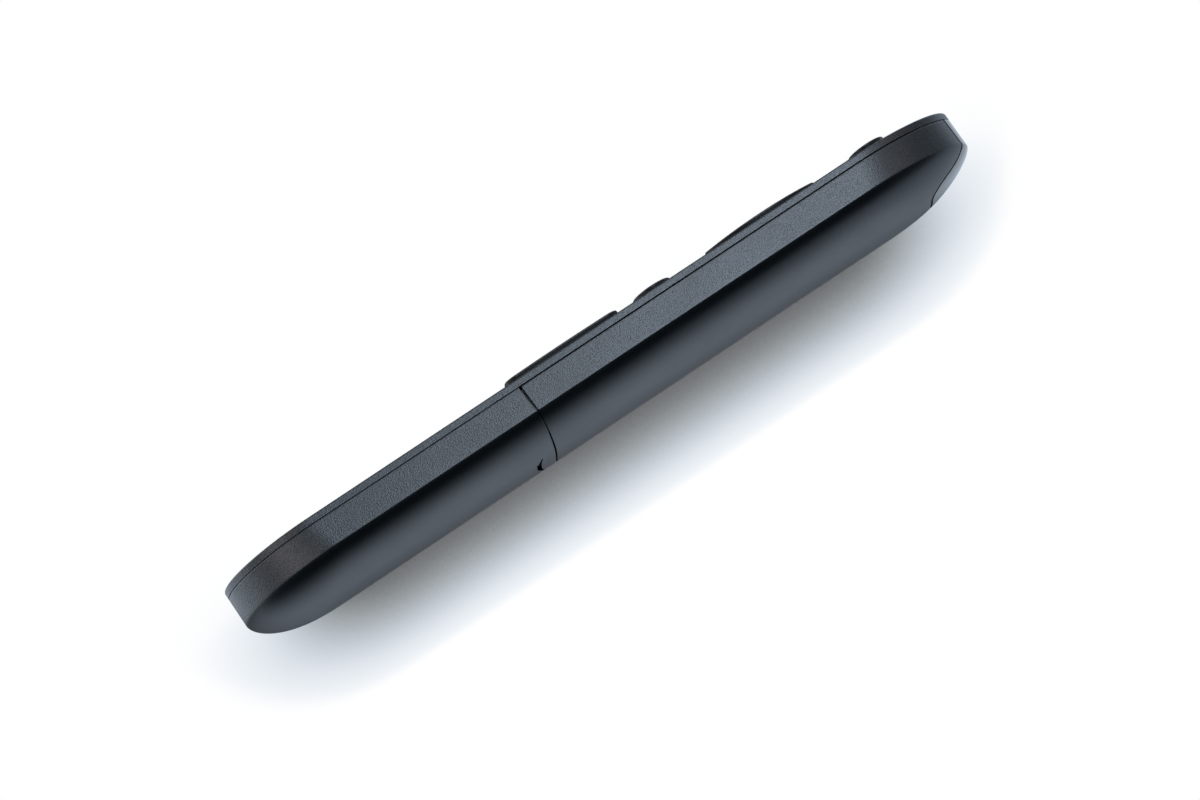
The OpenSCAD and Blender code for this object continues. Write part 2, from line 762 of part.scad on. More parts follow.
module controller_chip() color("#161616") {
    lead_w = 0.4;
    lead_out = 1.2;
    lead_drop = 1.2;
    stand_off = 0.2;
    lead_end = chip_length / 2 - 1;
    translate([0, home_y, board_low_z]) {
        translate([0, 0, -(chip_t + stand_off) / 2])
            cube([chip_width, chip_length, chip_t - stand_off], center = true);
        // Leads along both long sides, sunk a little into the body
        for (s = [-1, 1], y = [-lead_end:lead_pitch:lead_end])
            translate([s * (chip_width / 2 + lead_out / 2 - stand_off / 2), y, -lead_drop / 2])
                cube([lead_out + stand_off, lead_w, lead_drop], center = true);
    }
}

module resonator() color("#c98a2b") {
    translate([-column_x, home_y - resonator_size[1] / 2, board_low_z - resonator_size[2]])
        translate([-resonator_size[0] / 2, 0, 0])
            cube(resonator_size);
}

module storage_capacitor() color("#23304f") {
    translate([column_x, home_y + capacitor_length / 2, board_low_z - capacitor_r])
        rotate([90, 0, 0])
            cylinder(h = capacitor_length, r = capacitor_r);
}

module ir_diodes() color("#3b3550") {
    for (s = [-1, 1])
        translate([s * led_pitch / 2, led_base_y + led_length - led_r, led_z]) {
            // Round lens on a round body with a collar
            rotate([-90, 0, 0])
                rotate_extrude()
                    polygon(concat([[0, led_r - led_length], [led_r + led_collar, led_r - led_length],
                        [led_r + led_collar, led_r - led_length + led_collar_t],
                        [led_r, led_r - led_length + led_collar_t]],
                        [for (a = [0:10:90]) [led_r * cos(a), led_r * sin(a)]]));
            // Legs that lie under the edge of the board
            for (t = [-1, 1])
                translate([t * lead_pitch - leg / 2, led_r - led_length - leg_length, -leg / 2])
                    cube([leg, leg_length + led_collar_t / 2, leg]);
        }
}

// Contact plate across one cell's end, with its face towards the cell
module contact_plate(width) {
    translate([-width / 2, 0, cell_z - contact_height / 2])
        cube([width, contact_t, contact_height]);
}

module front_contacts() color("#c8c4b8") {
    for (s = [-1, 1])
        translate([0, bay_front_y - contact_t, 0]) {
            translate([s * cell_x, 0, 0])
                contact_plate(contact_width);
            // Tab that runs forward and lies on the board
            translate([s * tab_x - tab_width / 2, 0, board_top_z])
                cube([tab_width, board_tail_y + tab_rest - bay_front_y + contact_t, contact_t]);
        }
}

module tail_contact() color("#c8c4b8") {
    translate([0, bay_tail_y, 0])
        contact_plate(2 * cell_x + contact_width);
}

// Path of a contact spring, from its plate at 0 towards the cell
function spring_point(t) = let (r = spring_base_r + (spring_tip_r - spring_base_r) * t)
    [r * cos(360 * spring_turns * t), spring_wire / 2 + (spring_length - spring_wire) * t,
        r * sin(360 * spring_turns * t)];
spring_rings = 8 * spring_turns;
spring_sides = 6;

module contact_spring() {
    path = [for (i = [0:spring_rings]) spring_point(i / spring_rings)];
    n = len(path);
    polyhedron(
        points = [for (i = [0:n - 1]) let (a = 360 * spring_turns * i / spring_rings,
                out = [cos(a), 0, sin(a)]) for (k = [0:spring_sides - 1])
            path[i] + spring_wire / 2 * (cos(360 * k / spring_sides) * out
                + sin(360 * k / spring_sides) * [0, 1, 0])],
        faces = concat([[for (k = [0:spring_sides - 1]) k]],
            [[for (k = [spring_sides - 1:-1:0]) (n - 1) * spring_sides + k]],
            [for (i = [0:n - 2]) for (k = [0:spring_sides - 1]) let (m = (k + 1) % spring_sides)
                [i * spring_sides + k, (i + 1) * spring_sides + k, (i + 1) * spring_sides + m]],
            [for (i = [0:n - 2]) for (k = [0:spring_sides - 1]) let (m = (k + 1) % spring_sides)
                [i * spring_sides + k, (i + 1) * spring_sides + m, i * spring_sides + m]]));
}
// Least gap between neighbouring turns of a spring, measured on its points
spring_gap = min([for (i = [0:spring_rings - 8]) for (j = [i + 6:spring_rings])
    norm(spring_point(i / spring_rings) - spring_point(j / spring_rings))]) - spring_wire;
echo(spring_gap = spring_gap);

module contact_springs() color("#d8d8d4") {
    translate([cell_x, bay_front_y - contact_t, cell_z])
        mirror([0, 1, 0])
            contact_spring();
    translate([-cell_x, bay_tail_y + contact_t, cell_z])
        contact_spring();
}

// AAA cell with its flat end at 0 and its nub towards +Y
module cell() {
    rotate([-90, 0, 0])
        rotate_extrude()
            polygon([[0, 0], [cell_r - 0.8, 0], [cell_r - 0.5, 0.3], [cell_r - 0.3, 0.3],
                [cell_r, 0.6], [cell_r, cell_length - 0.5], [cell_r - 0.5, cell_length],
                [nub_d / 2, cell_length], [nub_d / 2, cell_length + nub_height],
                [0, cell_length + nub_height]]);
}

module left_cell() color("#2f5f8a") {
    translate([-cell_x, bay_tail_y + contact_t + spring_length, cell_z])
        cell();
}

module right_cell() color("#2f5f8a") {
    translate([cell_x, bay_front_y - contact_t - spring_length, cell_z])
        mirror([0, 1, 0])
            cell();
}

module case_screws() color("#8a8d90") {
    for (s = [-1, 1])
        translate([s * case_screw_offset, case_screw_y, case_head_z])
            screw(case_head_r, case_shank_r, case_shank_length);
}

module board_screws() color("#8a8d90") {
    for (p = post_places)
        translate([p[0], p[1], board_low_z - head_height])
            screw(board_head_r, board_shank_r, board_shank_length);
}

module power_key() color("#1c1d20") translate(power_keys[0]) round_key(power_r, power_height);
module source_key() color("#1c1d20") translate(power_keys[1]) round_key(power_r, power_height);
module right_key() color("#1c1d20") direction_key(0);
module up_key() color("#1c1d20") direction_key(90);
module left_key() color("#1c1d20") direction_key(180);
module down_key() color("#1c1d20") direction_key(270);
module ok_key() color("#1c1d20") translate([0, pad_y]) round_key(ok_r, ok_height);
module back_key() color("#1c1d20") translate(small_keys[0]) round_key(small_r, small_height);
module home_key() color("#1c1d20") translate(small_keys[1]) round_key(small_r, small_height);
module menu_key() color("#1c1d20") translate(small_keys[2]) round_key(small_r, small_height);
module mute_key() color("#1c1d20") translate(small_keys[3]) round_key(small_r, small_height);
module play_key() color("#1c1d20") translate(small_keys[4]) round_key(small_r, small_height);
module volume_rocker() color("#1c1d20") rocker(-column_x);
module channel_rocker() color("#1c1d20") rocker(column_x);

top_cover();
rear_shell();
battery_boot();
battery_tray();
ir_window();
circuit_board();
keypad_mat();
contact_pills();
controller_chip();
resonator();
storage_capacitor();
ir_diodes();
front_contacts();
tail_contact();
contact_springs();
left_cell();
right_cell();
case_screws();
board_screws();
power_key();
source_key();
up_key();
down_key();
left_key();
right_key();
ok_key();
back_key();
home_key();
menu_key();
volume_rocker();
channel_rocker();
mute_key();
play_key();
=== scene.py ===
from math import asin, ceil, cos, pi, radians, sin, sqrt

import bmesh
import bpy
from mathutils import Matrix, Vector
from mathutils.geometry import tessellate_polygon


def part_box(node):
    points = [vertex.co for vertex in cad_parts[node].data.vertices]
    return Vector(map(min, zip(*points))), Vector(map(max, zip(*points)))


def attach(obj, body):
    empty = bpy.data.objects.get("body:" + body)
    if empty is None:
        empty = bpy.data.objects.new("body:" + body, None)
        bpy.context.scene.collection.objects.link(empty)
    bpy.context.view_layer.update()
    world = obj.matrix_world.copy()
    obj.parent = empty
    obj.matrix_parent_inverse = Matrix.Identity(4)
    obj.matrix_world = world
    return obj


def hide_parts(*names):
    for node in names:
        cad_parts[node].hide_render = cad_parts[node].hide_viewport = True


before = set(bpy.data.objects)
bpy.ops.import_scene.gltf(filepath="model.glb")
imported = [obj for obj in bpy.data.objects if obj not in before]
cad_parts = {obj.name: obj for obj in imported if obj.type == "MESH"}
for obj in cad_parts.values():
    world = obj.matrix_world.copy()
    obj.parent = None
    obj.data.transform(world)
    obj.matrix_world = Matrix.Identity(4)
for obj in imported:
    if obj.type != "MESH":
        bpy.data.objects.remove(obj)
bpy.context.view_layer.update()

# Slim remote control with a flared, boat-shaped housing. Lengths are in millimetres and become
# metres in the meshes. +Y is the infra-red nose, +Z the key face, +X the right-hand flank.
mm = 0.001


def boxMm(node):
    low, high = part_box(node)
    return low / mm, high / mm


coverLow, coverHigh = boxMm("top_cover")
bootHigh, trayHigh = boxMm("battery_boot")[1], boxMm("battery_tray")[1]

housing = {
    "creaseHalf": bootHigh.x,
    "keelHalf": 4.15,
    "flare": 2.1,
    "creaseZ": 6.2,
    "partingZ": trayHigh.z,
    "faceZ": coverHigh.z,
    "tailY": coverLow.y,
    "noseY": coverHigh.y,
    "mouthY": bootHigh.y,
    "seamGap": 0.3,
    "partingGap": 0.15,
    "wall": 1.3,
    "slideGap": 0.3,
    "tailRound": 22.7,
    "noseRound": 25.0,
    "tailFullness": 1.97,
    "noseFullness": 1.85,
    "tailRise": 12.8,
    "noseRise": 14.8,
    "sideFullness": 1.64,
    "tailRiseFullness": 1.73,
    "noseRiseFullness": 1.43,
    "cornerSteps": 36,
    "hullSteps": 22,
    "creaseStep": 0.025,
    "bandSteps": (0.15, 0.5, 2.2),
    "rimSteps": (2.0, 0.4),
    "edgeRound": 0.17,
}
seamY = housing["mouthY"] + housing["seamGap"]
faceHalf = housing["creaseHalf"] - housing["flare"]
bandTop = housing["partingZ"] - housing["partingGap"]
wall, creaseZ, faceZ = housing["wall"], housing["creaseZ"], housing["faceZ"]


# Mesh helpers

def addObject(name, data):
    holder = bpy.data.objects.new(name, data)
    bpy.context.scene.collection.objects.link(holder)
    return holder


def newPiece(name, points, faces):
    mesh = bpy.data.meshes.new(name)
    mesh.from_pydata([Vector(p) * mm for p in points], [], faces)
    piece = addObject(name, mesh)
    tidyMesh(piece)
    return piece


def tidyMesh(piece, sharpAngle=32):    # merged, facing outwards, smooth but for its real edges
    bm = bmesh.new()
    bm.from_mesh(piece.data)
    bmesh.ops.remove_doubles(bm, verts=bm.verts, dist=1e-7)
    bmesh.ops.recalc_face_normals(bm, faces=bm.faces)
    for face in bm.faces:
        face.smooth = True
    for edge in bm.edges:
        if len(edge.link_faces) == 2:
            edge.smooth = edge.calc_face_angle(0) < radians(sharpAngle)
    bm.to_mesh(piece.data)
    bm.free()


def bakeModifiers(piece):
    depsgraph = bpy.context.evaluated_depsgraph_get()
    mesh = bpy.data.meshes.new_from_object(piece.evaluated_get(depsgraph))
    piece.modifiers.clear()
    piece.data = mesh


def combine(piece, other, operation="DIFFERENCE"):
    step = piece.modifiers.new(operation.lower(), "BOOLEAN")
    step.operation = operation
    step.solver = "EXACT"
    step.object = other
    bakeModifiers(piece)
    bpy.data.objects.remove(other)
    tidyMesh(piece)


def joinInto(piece, *others):
    bm = bmesh.new()
    for part in (piece, *others):
        bm.from_mesh(part.data)
    bm.to_mesh(piece.data)
    bm.free()
    for part in others:
        bpy.data.objects.remove(part)
    return piece


def roundEdges(piece, width, segments=2, angle=40):
    step = piece.modifiers.new("edges", "BEVEL")
    step.width = width * mm
    step.segments = segments
    step.limit_method = "ANGLE"
    step.angle_limit = radians(angle)
    bakeModifiers(piece)
    tidyMesh(piece)


def keepFlat(piece):    # flat faces stay flat beside rounded edges
    piece.modifiers.new("normals", "WEIGHTED_NORMAL").keep_sharp = True


def strip(low, high):    # faces between two rows of point numbers
    return [(low[i], low[i + 1], high[i + 1], high[i]) for i in range(len(low) - 1)]


def strips(rows):
    return [face for low, high in zip(rows, rows[1:]) for face in strip(low, high)]


def stack(loops):    # points and faces between loops of the same length, closed round
    count = len(loops[0])
    rows = [[k * count + i % count for i in range(count + 1)] for k in range(len(loops))]
    return [p for loop in loops for p in loop], strips(rows)


def arc(radius, start, end, steps=28, centre=(0, 0)):
    turns = [radians(start + (end - start) * i / steps) for i in range(steps + 1)]
    return [(centre[0] + radius * cos(t), centre[1] + radius * sin(t)) for t in turns]


def circleOutline(centre, radius, steps=72):
    return arc(radius, 0, 360, steps, centre)[:-1]


def roundedRectangle(centre, width, length, corner, steps=10):
    outline = []
    for side, (sx, sy) in enumerate(((1, 1), (-1, 1), (-1, -1), (1, -1))):
        middle = (centre[0] + sx * (width / 2 - corner), centre[1] + sy * (length / 2 - corner))
        outline += arc(corner, 90 * side, 90 * side + 90, steps, middle)
    return outline


def atHeight(outline, z):
    return [(x, y, z) for x, y in outline]


def solid(name, loops):    # closed by a face on its first loop and one on its last
    points, faces = stack(loops)
    count = len(loops[0])
    faces += [tuple(range(count)), tuple(range(len(points) - count, len(points)))]
    return newPiece(name, points, faces)


def prism(name, outline, low, high):
    return solid(name, [atHeight(outline, z) for z in (low, high)])


def lathe(name, profile, centre, steps=96):    # profile of (radius, z) from axis to axis
    return newPiece(name, *stack([atHeight(circleOutline(centre, r, steps), z) for r, z in profile]))


# Form of the housing: the same formulas as the CAD shells, with finer steps

def quarter(fullness):
    steps = housing["cornerSteps"]
    turns = [pi / 2 * i / steps for i in range(steps + 1)]
    return [(sin(t) ** (2 / fullness), 1 - max(cos(t), 0) ** (2 / fullness)) for t in turns]


def tuck(q, fullness):
    return 1 - max(1 - q ** fullness, 0) ** (1 / fullness)


def bandRing(z, inset):
    h = housing
    out = h["flare"] * (h["partingZ"] - z) / (h["partingZ"] - creaseZ)
    return {"half": faceHalf + out - inset, "tail": h["tailY"] + inset, "nose": h["noseY"] - inset,
            "tailRound": h["tailRound"] + out - inset, "noseRound": h["noseRound"] + out - inset, "z": z}


def hullRing(q, inset):
    h = housing
    full = h["creaseHalf"] - inset
    half = full - (full - h["keelHalf"]) * tuck(q, h["sideFullness"])
    return {"half": half, "tail": h["tailY"] + inset + h["tailRise"] * tuck(q, h["tailRiseFullness"]),
            "nose": h["noseY"] - inset - h["noseRise"] * tuck(q, h["noseRiseFullness"]),
            "tailRound": (h["tailRound"] + h["flare"] - inset) * half / full,
            "noseRound": (h["noseRound"] + h["flare"] - inset) * half / full,
            "z": inset + (creaseZ - inset) * (1 - q)}


def housingRings(inset, top):    # from the keel up to the crease, and on up to the rim
    h = housing
    depths = [cos(pi / 2 * i / h["hullSteps"]) for i in range(h["hullSteps"])] + [h["creaseStep"], 0.0]
    heights = [creaseZ + step for step in h["bandSteps"]]
    heights += [top - step for step in h["rimSteps"]] + [top]
    return [hullRing(q, inset) for q in depths] + [bandRing(z, inset) for z in heights]


def endOutline(ring, cut, end, inwards):    # from flank to flank round one end
    bend = [(ring["half"] * a, ring[end] + inwards * ring[end + "Round"] * b)
            for a, b in quarter(housing[end + "Fullness"])]
    left = [(-x, y) for x, y in reversed(bend)]
    return [(-ring["half"], cut)] + left + bend[1:] + [(ring["half"], cut)]


def tailOutline(ring, cut):
    return endOutline(ring, cut, "tail", 1)


def noseOutline(ring, cut):
    return endOutline(ring, cut, "nose", -1)[::-1]


def planOutline(ring):
    return tailOutline(ring, 0)[1:-1] + noseOutline(ring, 0)[1:-1]


def shell(name, outlineOf, cut, outer, inner, top):    # half of the housing, open above and at its cut
    skins = [[atHeight(outlineOf(r, cut), r["z"]) for r in housingRings(inset, top)]
             for inset in (outer, inner)]
    points, faces, rows = [], [], ([], [])
    for skin, own in zip(skins, rows):
        for ring in skin:
            own.append(range(len(points), len(points) + len(ring)))
            points += ring
        half = len(own[0]) // 2 + 1
        rungs = strip(own[0][:half], own[0][::-1][:half])    # keel strip, from side to side
        faces += strips(own) + [tuple(dict.fromkeys(rung)) for rung in rungs]
    faces += strip(rows[0][-1], rows[1][-1])
    for end in (0, -1):
        faces += strip(*[[row[end] for row in own] for own in rows])
    faces.append((rows[0][0][0], rows[1][0][0], rows[1][0][-1], rows[0][0][-1]))
    return newPiece(name, points, faces)


def channel(name, outer, inner, top, fromY, toY):    # straight run of the housing's section
    section = []
    for inset in (outer, inner):
        side = [(r["half"], r["z"]) for r in housingRings(inset, top)]
        profile = side[::-1] + [(-x, z) for x, z in side]
        section += profile[::-1] if section else profile
    points, faces = stack([[(x, y, z) for x, z in section] for y in (fromY, toY)])
    total = len(section)
    for ring in (range(total), range(total, 2 * total)):
        faces += strip(ring[:total // 2], ring[::-1][:total // 2])
    return newPiece(name, points, faces)


print("housing shells")

beyond = 1.0    # how far cutters reach past what they cut
overlap = 0.1    # how deep joined pieces reach into each other

irWindow = {"width": 15.6, "run": 13.0, "corner": 4.5, "seam": 0.15, "edge": 0.22, "rebate": 0.6,
            "rebateDepth": 0.5, "cut": 30.0}
windowCut = housing["noseY"] - irWindow["cut"]


def windowOutline(margin):    # rounded towards the tail, running off the nose
    low = housing["noseY"] - irWindow["run"] - margin
    high = housing["noseY"] + irWindow["run"]
    return roundedRectangle((0, (low + high) / 2), irWindow["width"] + 2 * margin, high - low,
                            irWindow["corner"] + margin)


def windowCutter(margin):
    return prism("cutter", windowOutline(margin), -beyond, faceZ)


rearShell = shell("rearShell", noseOutline, seamY, 0, wall, bandTop)
roundEdges(rearShell, housing["edgeRound"])
combine(rearShell, windowCutter(irWindow["seam"]))
rebate = shell("rebate", noseOutline, windowCut, -overlap, irWindow["rebateDepth"],
               bandTop + beyond)
combine(rebate, windowCutter(irWindow["rebate"]), "INTERSECT")
combine(rearShell, rebate)

lip = {"length": 9.0, "root": 2.5, "rootBack": 0.3, "rootDrop": 0.2, "thick": 1.2, "edge": 0.2,
       "screwX": 10.0, "screwBack": 6.0, "headR": 2.05, "shankR": 1.15, "headTop": 3.2, "padLow": 0.9,
       "padTop": 4.7, "padR": 3.15, "padEdge": 0.3, "padReach": 5.0, "boreTop": 6.0}
lipInset = wall + housing["slideGap"]
lipDepth = lipInset + lip["thick"]
lipPiece = channel("lip", lipInset, lipDepth, bandTop, seamY - lip["length"], seamY + lip["root"])
roundEdges(lipPiece, lip["edge"])
lipRoot = channel("lipRoot", wall - overlap, lipDepth - overlap,
                  bandTop - lip["rootDrop"], seamY + lip["rootBack"], seamY + lip["root"])
screwY = seamY - lip["screwBack"]
for side in (-1, 1):
    centre = (side * lip["screwX"], screwY)
    pad = lathe("pad", [(0, lip["padLow"]), (lip["padR"], lip["padLow"]),
                        (lip["padR"], lip["padTop"] - lip["padEdge"]),
                        (lip["padR"] - lip["padEdge"], lip["padTop"]), (0, lip["padTop"])], centre)
    block = channel("block", -3 * beyond, lipInset, bandTop, screwY - lip["padReach"],
                    screwY + lip["padReach"])
    combine(pad, block)
    combine(lipPiece, pad, "UNION")
    bore = lathe("bore", [(0, -beyond), (lip["headR"], -beyond), (lip["headR"], lip["headTop"]),
                          (lip["shankR"], lip["headTop"]), (lip["shankR"], lip["boreTop"]),
                          (0, lip["boreTop"])], centre)
    combine(lipPiece, bore)

slot = {"width": 6.0, "length": 1.1, "corner": 0.4, "back": 4.4, "mouthLean": 0.2, "closer": 0.1,
        "bumpGap": 0.02, "bumpPlay": (1.0, 0.4), "bumpCorner": 0.3, "bumpDepth": 0.4, "hornRoot": (-0.4, 0.5),
        "hornTip": (6.5, 0.75), "hornEnd": (-0.1, 0.3), "hornDepth": 1.1, "flangeInset": 1.12,
        "flangeOut": 0.22, "flangeBack": 0.4}
slotY = seamY - slot["back"]
snapBump = prism("snapBump", roundedRectangle((0, slotY), slot["width"] - slot["bumpPlay"][0],
                                              slot["length"] - slot["bumpPlay"][1], slot["bumpCorner"]),
                 wall + slot["bumpGap"], lipInset + slot["bumpDepth"])
# The flange closes the view through the seam
seamFlange = channel("seamFlange", slot["flangeInset"], wall, bandTop - overlap,
                     seamY - slot["flangeOut"], seamY + slot["flangeBack"])
joinInto(rearShell, lipPiece, lipRoot, snapBump, seamFlange)

batteryBoot = shell("batteryBoot", tailOutline, housing["mouthY"], 0, wall,
                    bandTop + slot["closer"])
for vert in batteryBoot.data.vertices:    # the mouth leans back a little towards the rim
    x, y, z = vert.co / mm
    if y > housing["mouthY"] - 0.01 and z > creaseZ:
        vert.co.y -= slot["mouthLean"] * (z - creaseZ) / (bandTop - creaseZ) * mm
roundEdges(batteryBoot, housing["edgeRound"])
slotOutline = roundedRectangle((0, slotY), slot["width"], slot["length"], slot["corner"])
combine(batteryBoot, prism("cutter", slotOutline, -beyond, lipInset))
for side in (-1, 1):    # the slot's ends run out in shallow horns towards the seam
    (tipX, tipY), (endX, endY), (low, high) = slot["hornTip"], slot["hornEnd"], slot["hornRoot"]
    rootX = slot["width"] / 2 - slot["corner"]
    corners = ((rootX, low), (tipX, tipY), (tipX + endX, tipY + endY), (rootX, high))
    horn = [(side * x, slotY + y) for x, y in corners]
    combine(batteryBoot, prism("horn", horn, -beyond, slot["hornDepth"]))

rail = {"length": 34.0, "height": 1.1, "depth": 1.8, "low": 9.8, "corner": 0.4, "back": 1.2, "sunk": 0.3,
        "trim": (-40.0, 5.0)}
railEnd = trayHigh.y - rail["back"]
railIn, railOut = faceHalf - wall - rail["depth"], housing["creaseHalf"]
for side in (-1, 1):
    centre = (side * (railIn + railOut) / 2, railEnd - rail["length"] / 2)
    bar = prism("rail", roundedRectangle(centre, railOut - railIn, rail["length"], rail["corner"]),
                rail["low"], rail["low"] + rail["height"])
    trim = channel("trim", -4 * beyond, wall - rail["sunk"], bandTop + 2 * beyond,
                   *(railEnd + reach for reach in rail["trim"]))
    combine(bar, trim)
    joinInto(batteryBoot, bar)

windowPiece = shell("irWindow", noseOutline, windowCut, 0, wall, bandTop)
combine(windowPiece, windowCutter(0), "INTERSECT")
roundEdges(windowPiece, irWindow["edge"], segments=3, angle=50)

for piece, node, body in ((rearShell, "rear_shell", "housing"),
                          (batteryBoot, "battery_boot", "battery_boot"),
                          (windowPiece, "ir_window", "housing")):
    keepFlat(piece)
    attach(piece, body)
    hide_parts(node)


print("top cover")

keys = {
    "play": 0.2, "rockerPlay": 0.3, "flangeLow": 11.8, "flangeTop": 12.6, "flangeOut": 0.6,
    "powerY": 69.9, "padY": 43.2, "homeY": 16.6, "rockerY": -5.7, "columnX": 12.6, "innerPitch": 7.2,
    "powerR": 4.3, "powerHeight": 1.65, "smallR": 4.55, "smallHeight": 1.7, "crown": 0.18, "edge": 0.35,
    "padOuter": 18.6, "padSideR": 25.0, "padInner": 8.6, "padHeight": 1.35, "padDish": 0.15,
    "spoke": 1.2, "okR": 7.2, "okHeight": 1.2, "rockerLength": 27.6, "rockerWidth": 9.6,
    "rockerCorner": 2.6, "rockerHeight": 1.6, "rockerCrown": 0.13, "rockerAcross": 0.1, "rockerFlange": 8,
    "ridge": (6, 1.2), "ridgeDepth": 0.75, "rockerCuts": (28, 10), "crownSteps": 8, "edgeSteps": 6,
    "padSteps": 40, "padEdge": 0.25,
}
powerSize, smallSize = (keys["powerR"], keys["powerHeight"]), (keys["smallR"], keys["smallHeight"])
roundPlaces = {    # centre, radius and height
    "power_key": ((keys["columnX"], keys["powerY"]), *powerSize),
    "source_key": ((-keys["columnX"], keys["powerY"]), *powerSize),
    "back_key": ((-keys["columnX"], keys["homeY"]), *smallSize),
    "home_key": ((0, keys["homeY"]), *smallSize),
    "menu_key": ((keys["columnX"], keys["homeY"]), *smallSize),
    "mute_key": ((0, keys["rockerY"] + keys["innerPitch"]), *smallSize),
    "play_key": ((0, keys["rockerY"] - keys["innerPitch"]), *smallSize),
    "ok_key": ((0, keys["padY"]), keys["okR"], keys["okHeight"]),
}
sectorTurns = {"right_key": 0, "up_key": 90, "left_key": 180, "down_key": 270}
rockerPlaces = {"volume_rocker": (-keys["columnX"], keys["rockerY"]),
                "channel_rocker": (keys["columnX"], keys["rockerY"])}


def turned(x, y, degrees, centreY=0):
    t = radians(degrees)
    return x * cos(t) - y * sin(t), centreY + x * sin(t) + y * cos(t)


def sectorSide(margin, gap, inner):    # arc of a direction key's inner or outer side
    k = keys
    middle, radius = 0, k["padInner"] - margin
    if not inner:
        middle, radius = k["padOuter"] - k["padSideR"], k["padSideR"] + margin
    # The straight ends lie on x - |y| = gap * sqrt(2)
    reach = pi / 4 - asin((gap * sqrt(2) - middle) / (radius * sqrt(2)))
    return middle, radius, reach


def sectorPoint(margin, gap, inner, share):    # share runs from 0 to 1 along the side
    middle, radius, reach = sectorSide(margin, gap, inner)
    a = reach * (2 * share - 1)
    return middle + radius * cos(a), radius * sin(a)


def sectorOutline(turn, margin, gap, steps=30):
    way = [(True, i) for i in range(steps, -1, -1)] + [(False, i) for i in range(steps + 1)]
    return [turned(*sectorPoint(margin, gap, inner, i / steps), turn, keys["padY"]) for inner, i in way]


def openings(grow):
    play = keys["play"] + grow
    loops = [circleOutline(centre, radius + play) for centre, radius, height in roundPlaces.values()]
    loops += [sectorOutline(t, play, keys["spoke"] / 2 - grow) for t in sectorTurns.values()]
    wide = 2 * (keys["rockerPlay"] + grow)
    loops += [roundedRectangle(c, keys["rockerWidth"] + wide, keys["rockerLength"] + wide,
                               keys["rockerCorner"] + wide / 2) for c in rockerPlaces.values()]
    return loops


def roundedEdge(radius, top, steps):    # inset and height of a quarter-round edge, from its foot up
    turns = [pi / 2 * i / steps for i in range(steps + 1)]
    return [(radius * (1 - cos(a)), top - radius * (1 - sin(a))) for a in turns]


topCover = {"rimEdge": 0.35, "openingEdge": 0.12, "openingStep": 0.3, "lowEdge": 0.08, "edgeSteps": 5}


def coverMesh():
    parting = housing["partingZ"]
    low, e, step = topCover["lowEdge"], topCover["openingEdge"], topCover["openingStep"]
    rims = [(low, parting), (0, parting + low)]
    rims += roundedEdge(topCover["rimEdge"], faceZ, topCover["edgeSteps"])
    sides = [[atHeight(planOutline(bandRing(z, inset)), z) for inset, z in rims]]
    walls = [(parting, 0), (faceZ - e, 0), (faceZ - step * e, step * e), (faceZ, e)]
    for loops in zip(*[openings(grow) for z, grow in walls]):
        sides.append([atHeight(loop, z) for loop, (z, grow) in zip(loops, walls)])
    points, faces = [], []
    caps = {0: [], -1: []}    # each side's lowest and highest ring, with its first point's number
    for rings in sides:
        start, last = len(points), (len(rings) - 1) * len(rings[0])
        more, quads = stack(rings)
        points += more
        faces += [tuple(start + i for i in quad) for quad in quads]
        caps[0].append((rings[0], start))
        caps[-1].append((rings[-1], start + last))
    for level in caps.values():
        index = [start + i for loop, start in level for i in range(len(loop))]
        flat = [[Vector((x, y, 0)) for x, y, z in loop] for loop, start in level]
        faces += [tuple(index[i] for i in tri) for tri in tessellate_polygon(flat)]
    return newPiece("topCover", points, faces)


coverPiece = coverMesh()
posts = {"low": 9.6, "r": 1.6, "top": 12.9, "sides": 32, "x": 16.6, "reach": 17.3, "bossR": 2.3,
         "bossLow": 4.7, "bossSides": 40, "clip": (1.0, 6.0), "clipLow": 9.1, "clipCorner": 0.2,
         "clipInset": 0.7, "clipYs": (60.5, 25.9, 4.3, -8.7)}
postPlaces = [(sx * posts["x"], keys["padY"] + sy * posts["reach"]) for sx in (-1, 1) for sy in (-1, 1)]
postPlaces.append((0, keys["rockerY"]))
pins = [(place, posts["r"], posts["low"], posts["sides"]) for place in postPlaces]
pins += [((side * lip["screwX"], screwY), posts["bossR"], posts["bossLow"], posts["bossSides"])
         for side in (-1, 1)]
for place, radius, low, sides in pins:
    profile = [(0, low), (radius, low), (radius, posts["top"]), (0, posts["top"])]
    joinInto(coverPiece, lathe("post", profile, place, sides))
clipX = faceHalf - wall - posts["clipInset"]
for side in (-1, 1):
    for y in posts["clipYs"]:
        outline = roundedRectangle((side * clipX, y), *posts["clip"], posts["clipCorner"], steps=3)
        joinInto(coverPiece, prism("clip", outline, posts["clipLow"], posts["top"]))
keepFlat(coverPiece)
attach(coverPiece, "housing")
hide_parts("top_cover")


print("keys")


def crownRadius(half, rise):
    return (half ** 2 + rise ** 2) / (2 * rise)


def dishTop(centre, radius, height):    # crowned top of a round key
    crownR = crownRadius(radius - keys["edge"], keys["crown"])
    return lambda x, y: (faceZ + height - crownR
                         + sqrt(crownR ** 2 - (x - centre[0]) ** 2 - (y - centre[1]) ** 2))


def roundKey(node, centre, radius, height):
    k = keys
    topZ = dishTop((0, 0), radius, height)
    out, steps = radius + k["flangeOut"], k["crownSteps"]
    profile = [(0, k["flangeLow"]), (out, k["flangeLow"]), (out, k["flangeTop"]), (radius, k["flangeTop"])]
    profile += [(radius - inset, z) for inset, z in
                roundedEdge(k["edge"], faceZ + height - k["crown"], steps)]
    crown = [(radius - k["edge"]) * i / steps for i in range(steps - 1, -1, -1)]
    profile += [(x, topZ(x, 0)) for x in crown]
    return lathe(node.replace("_k", "K"), profile, centre)


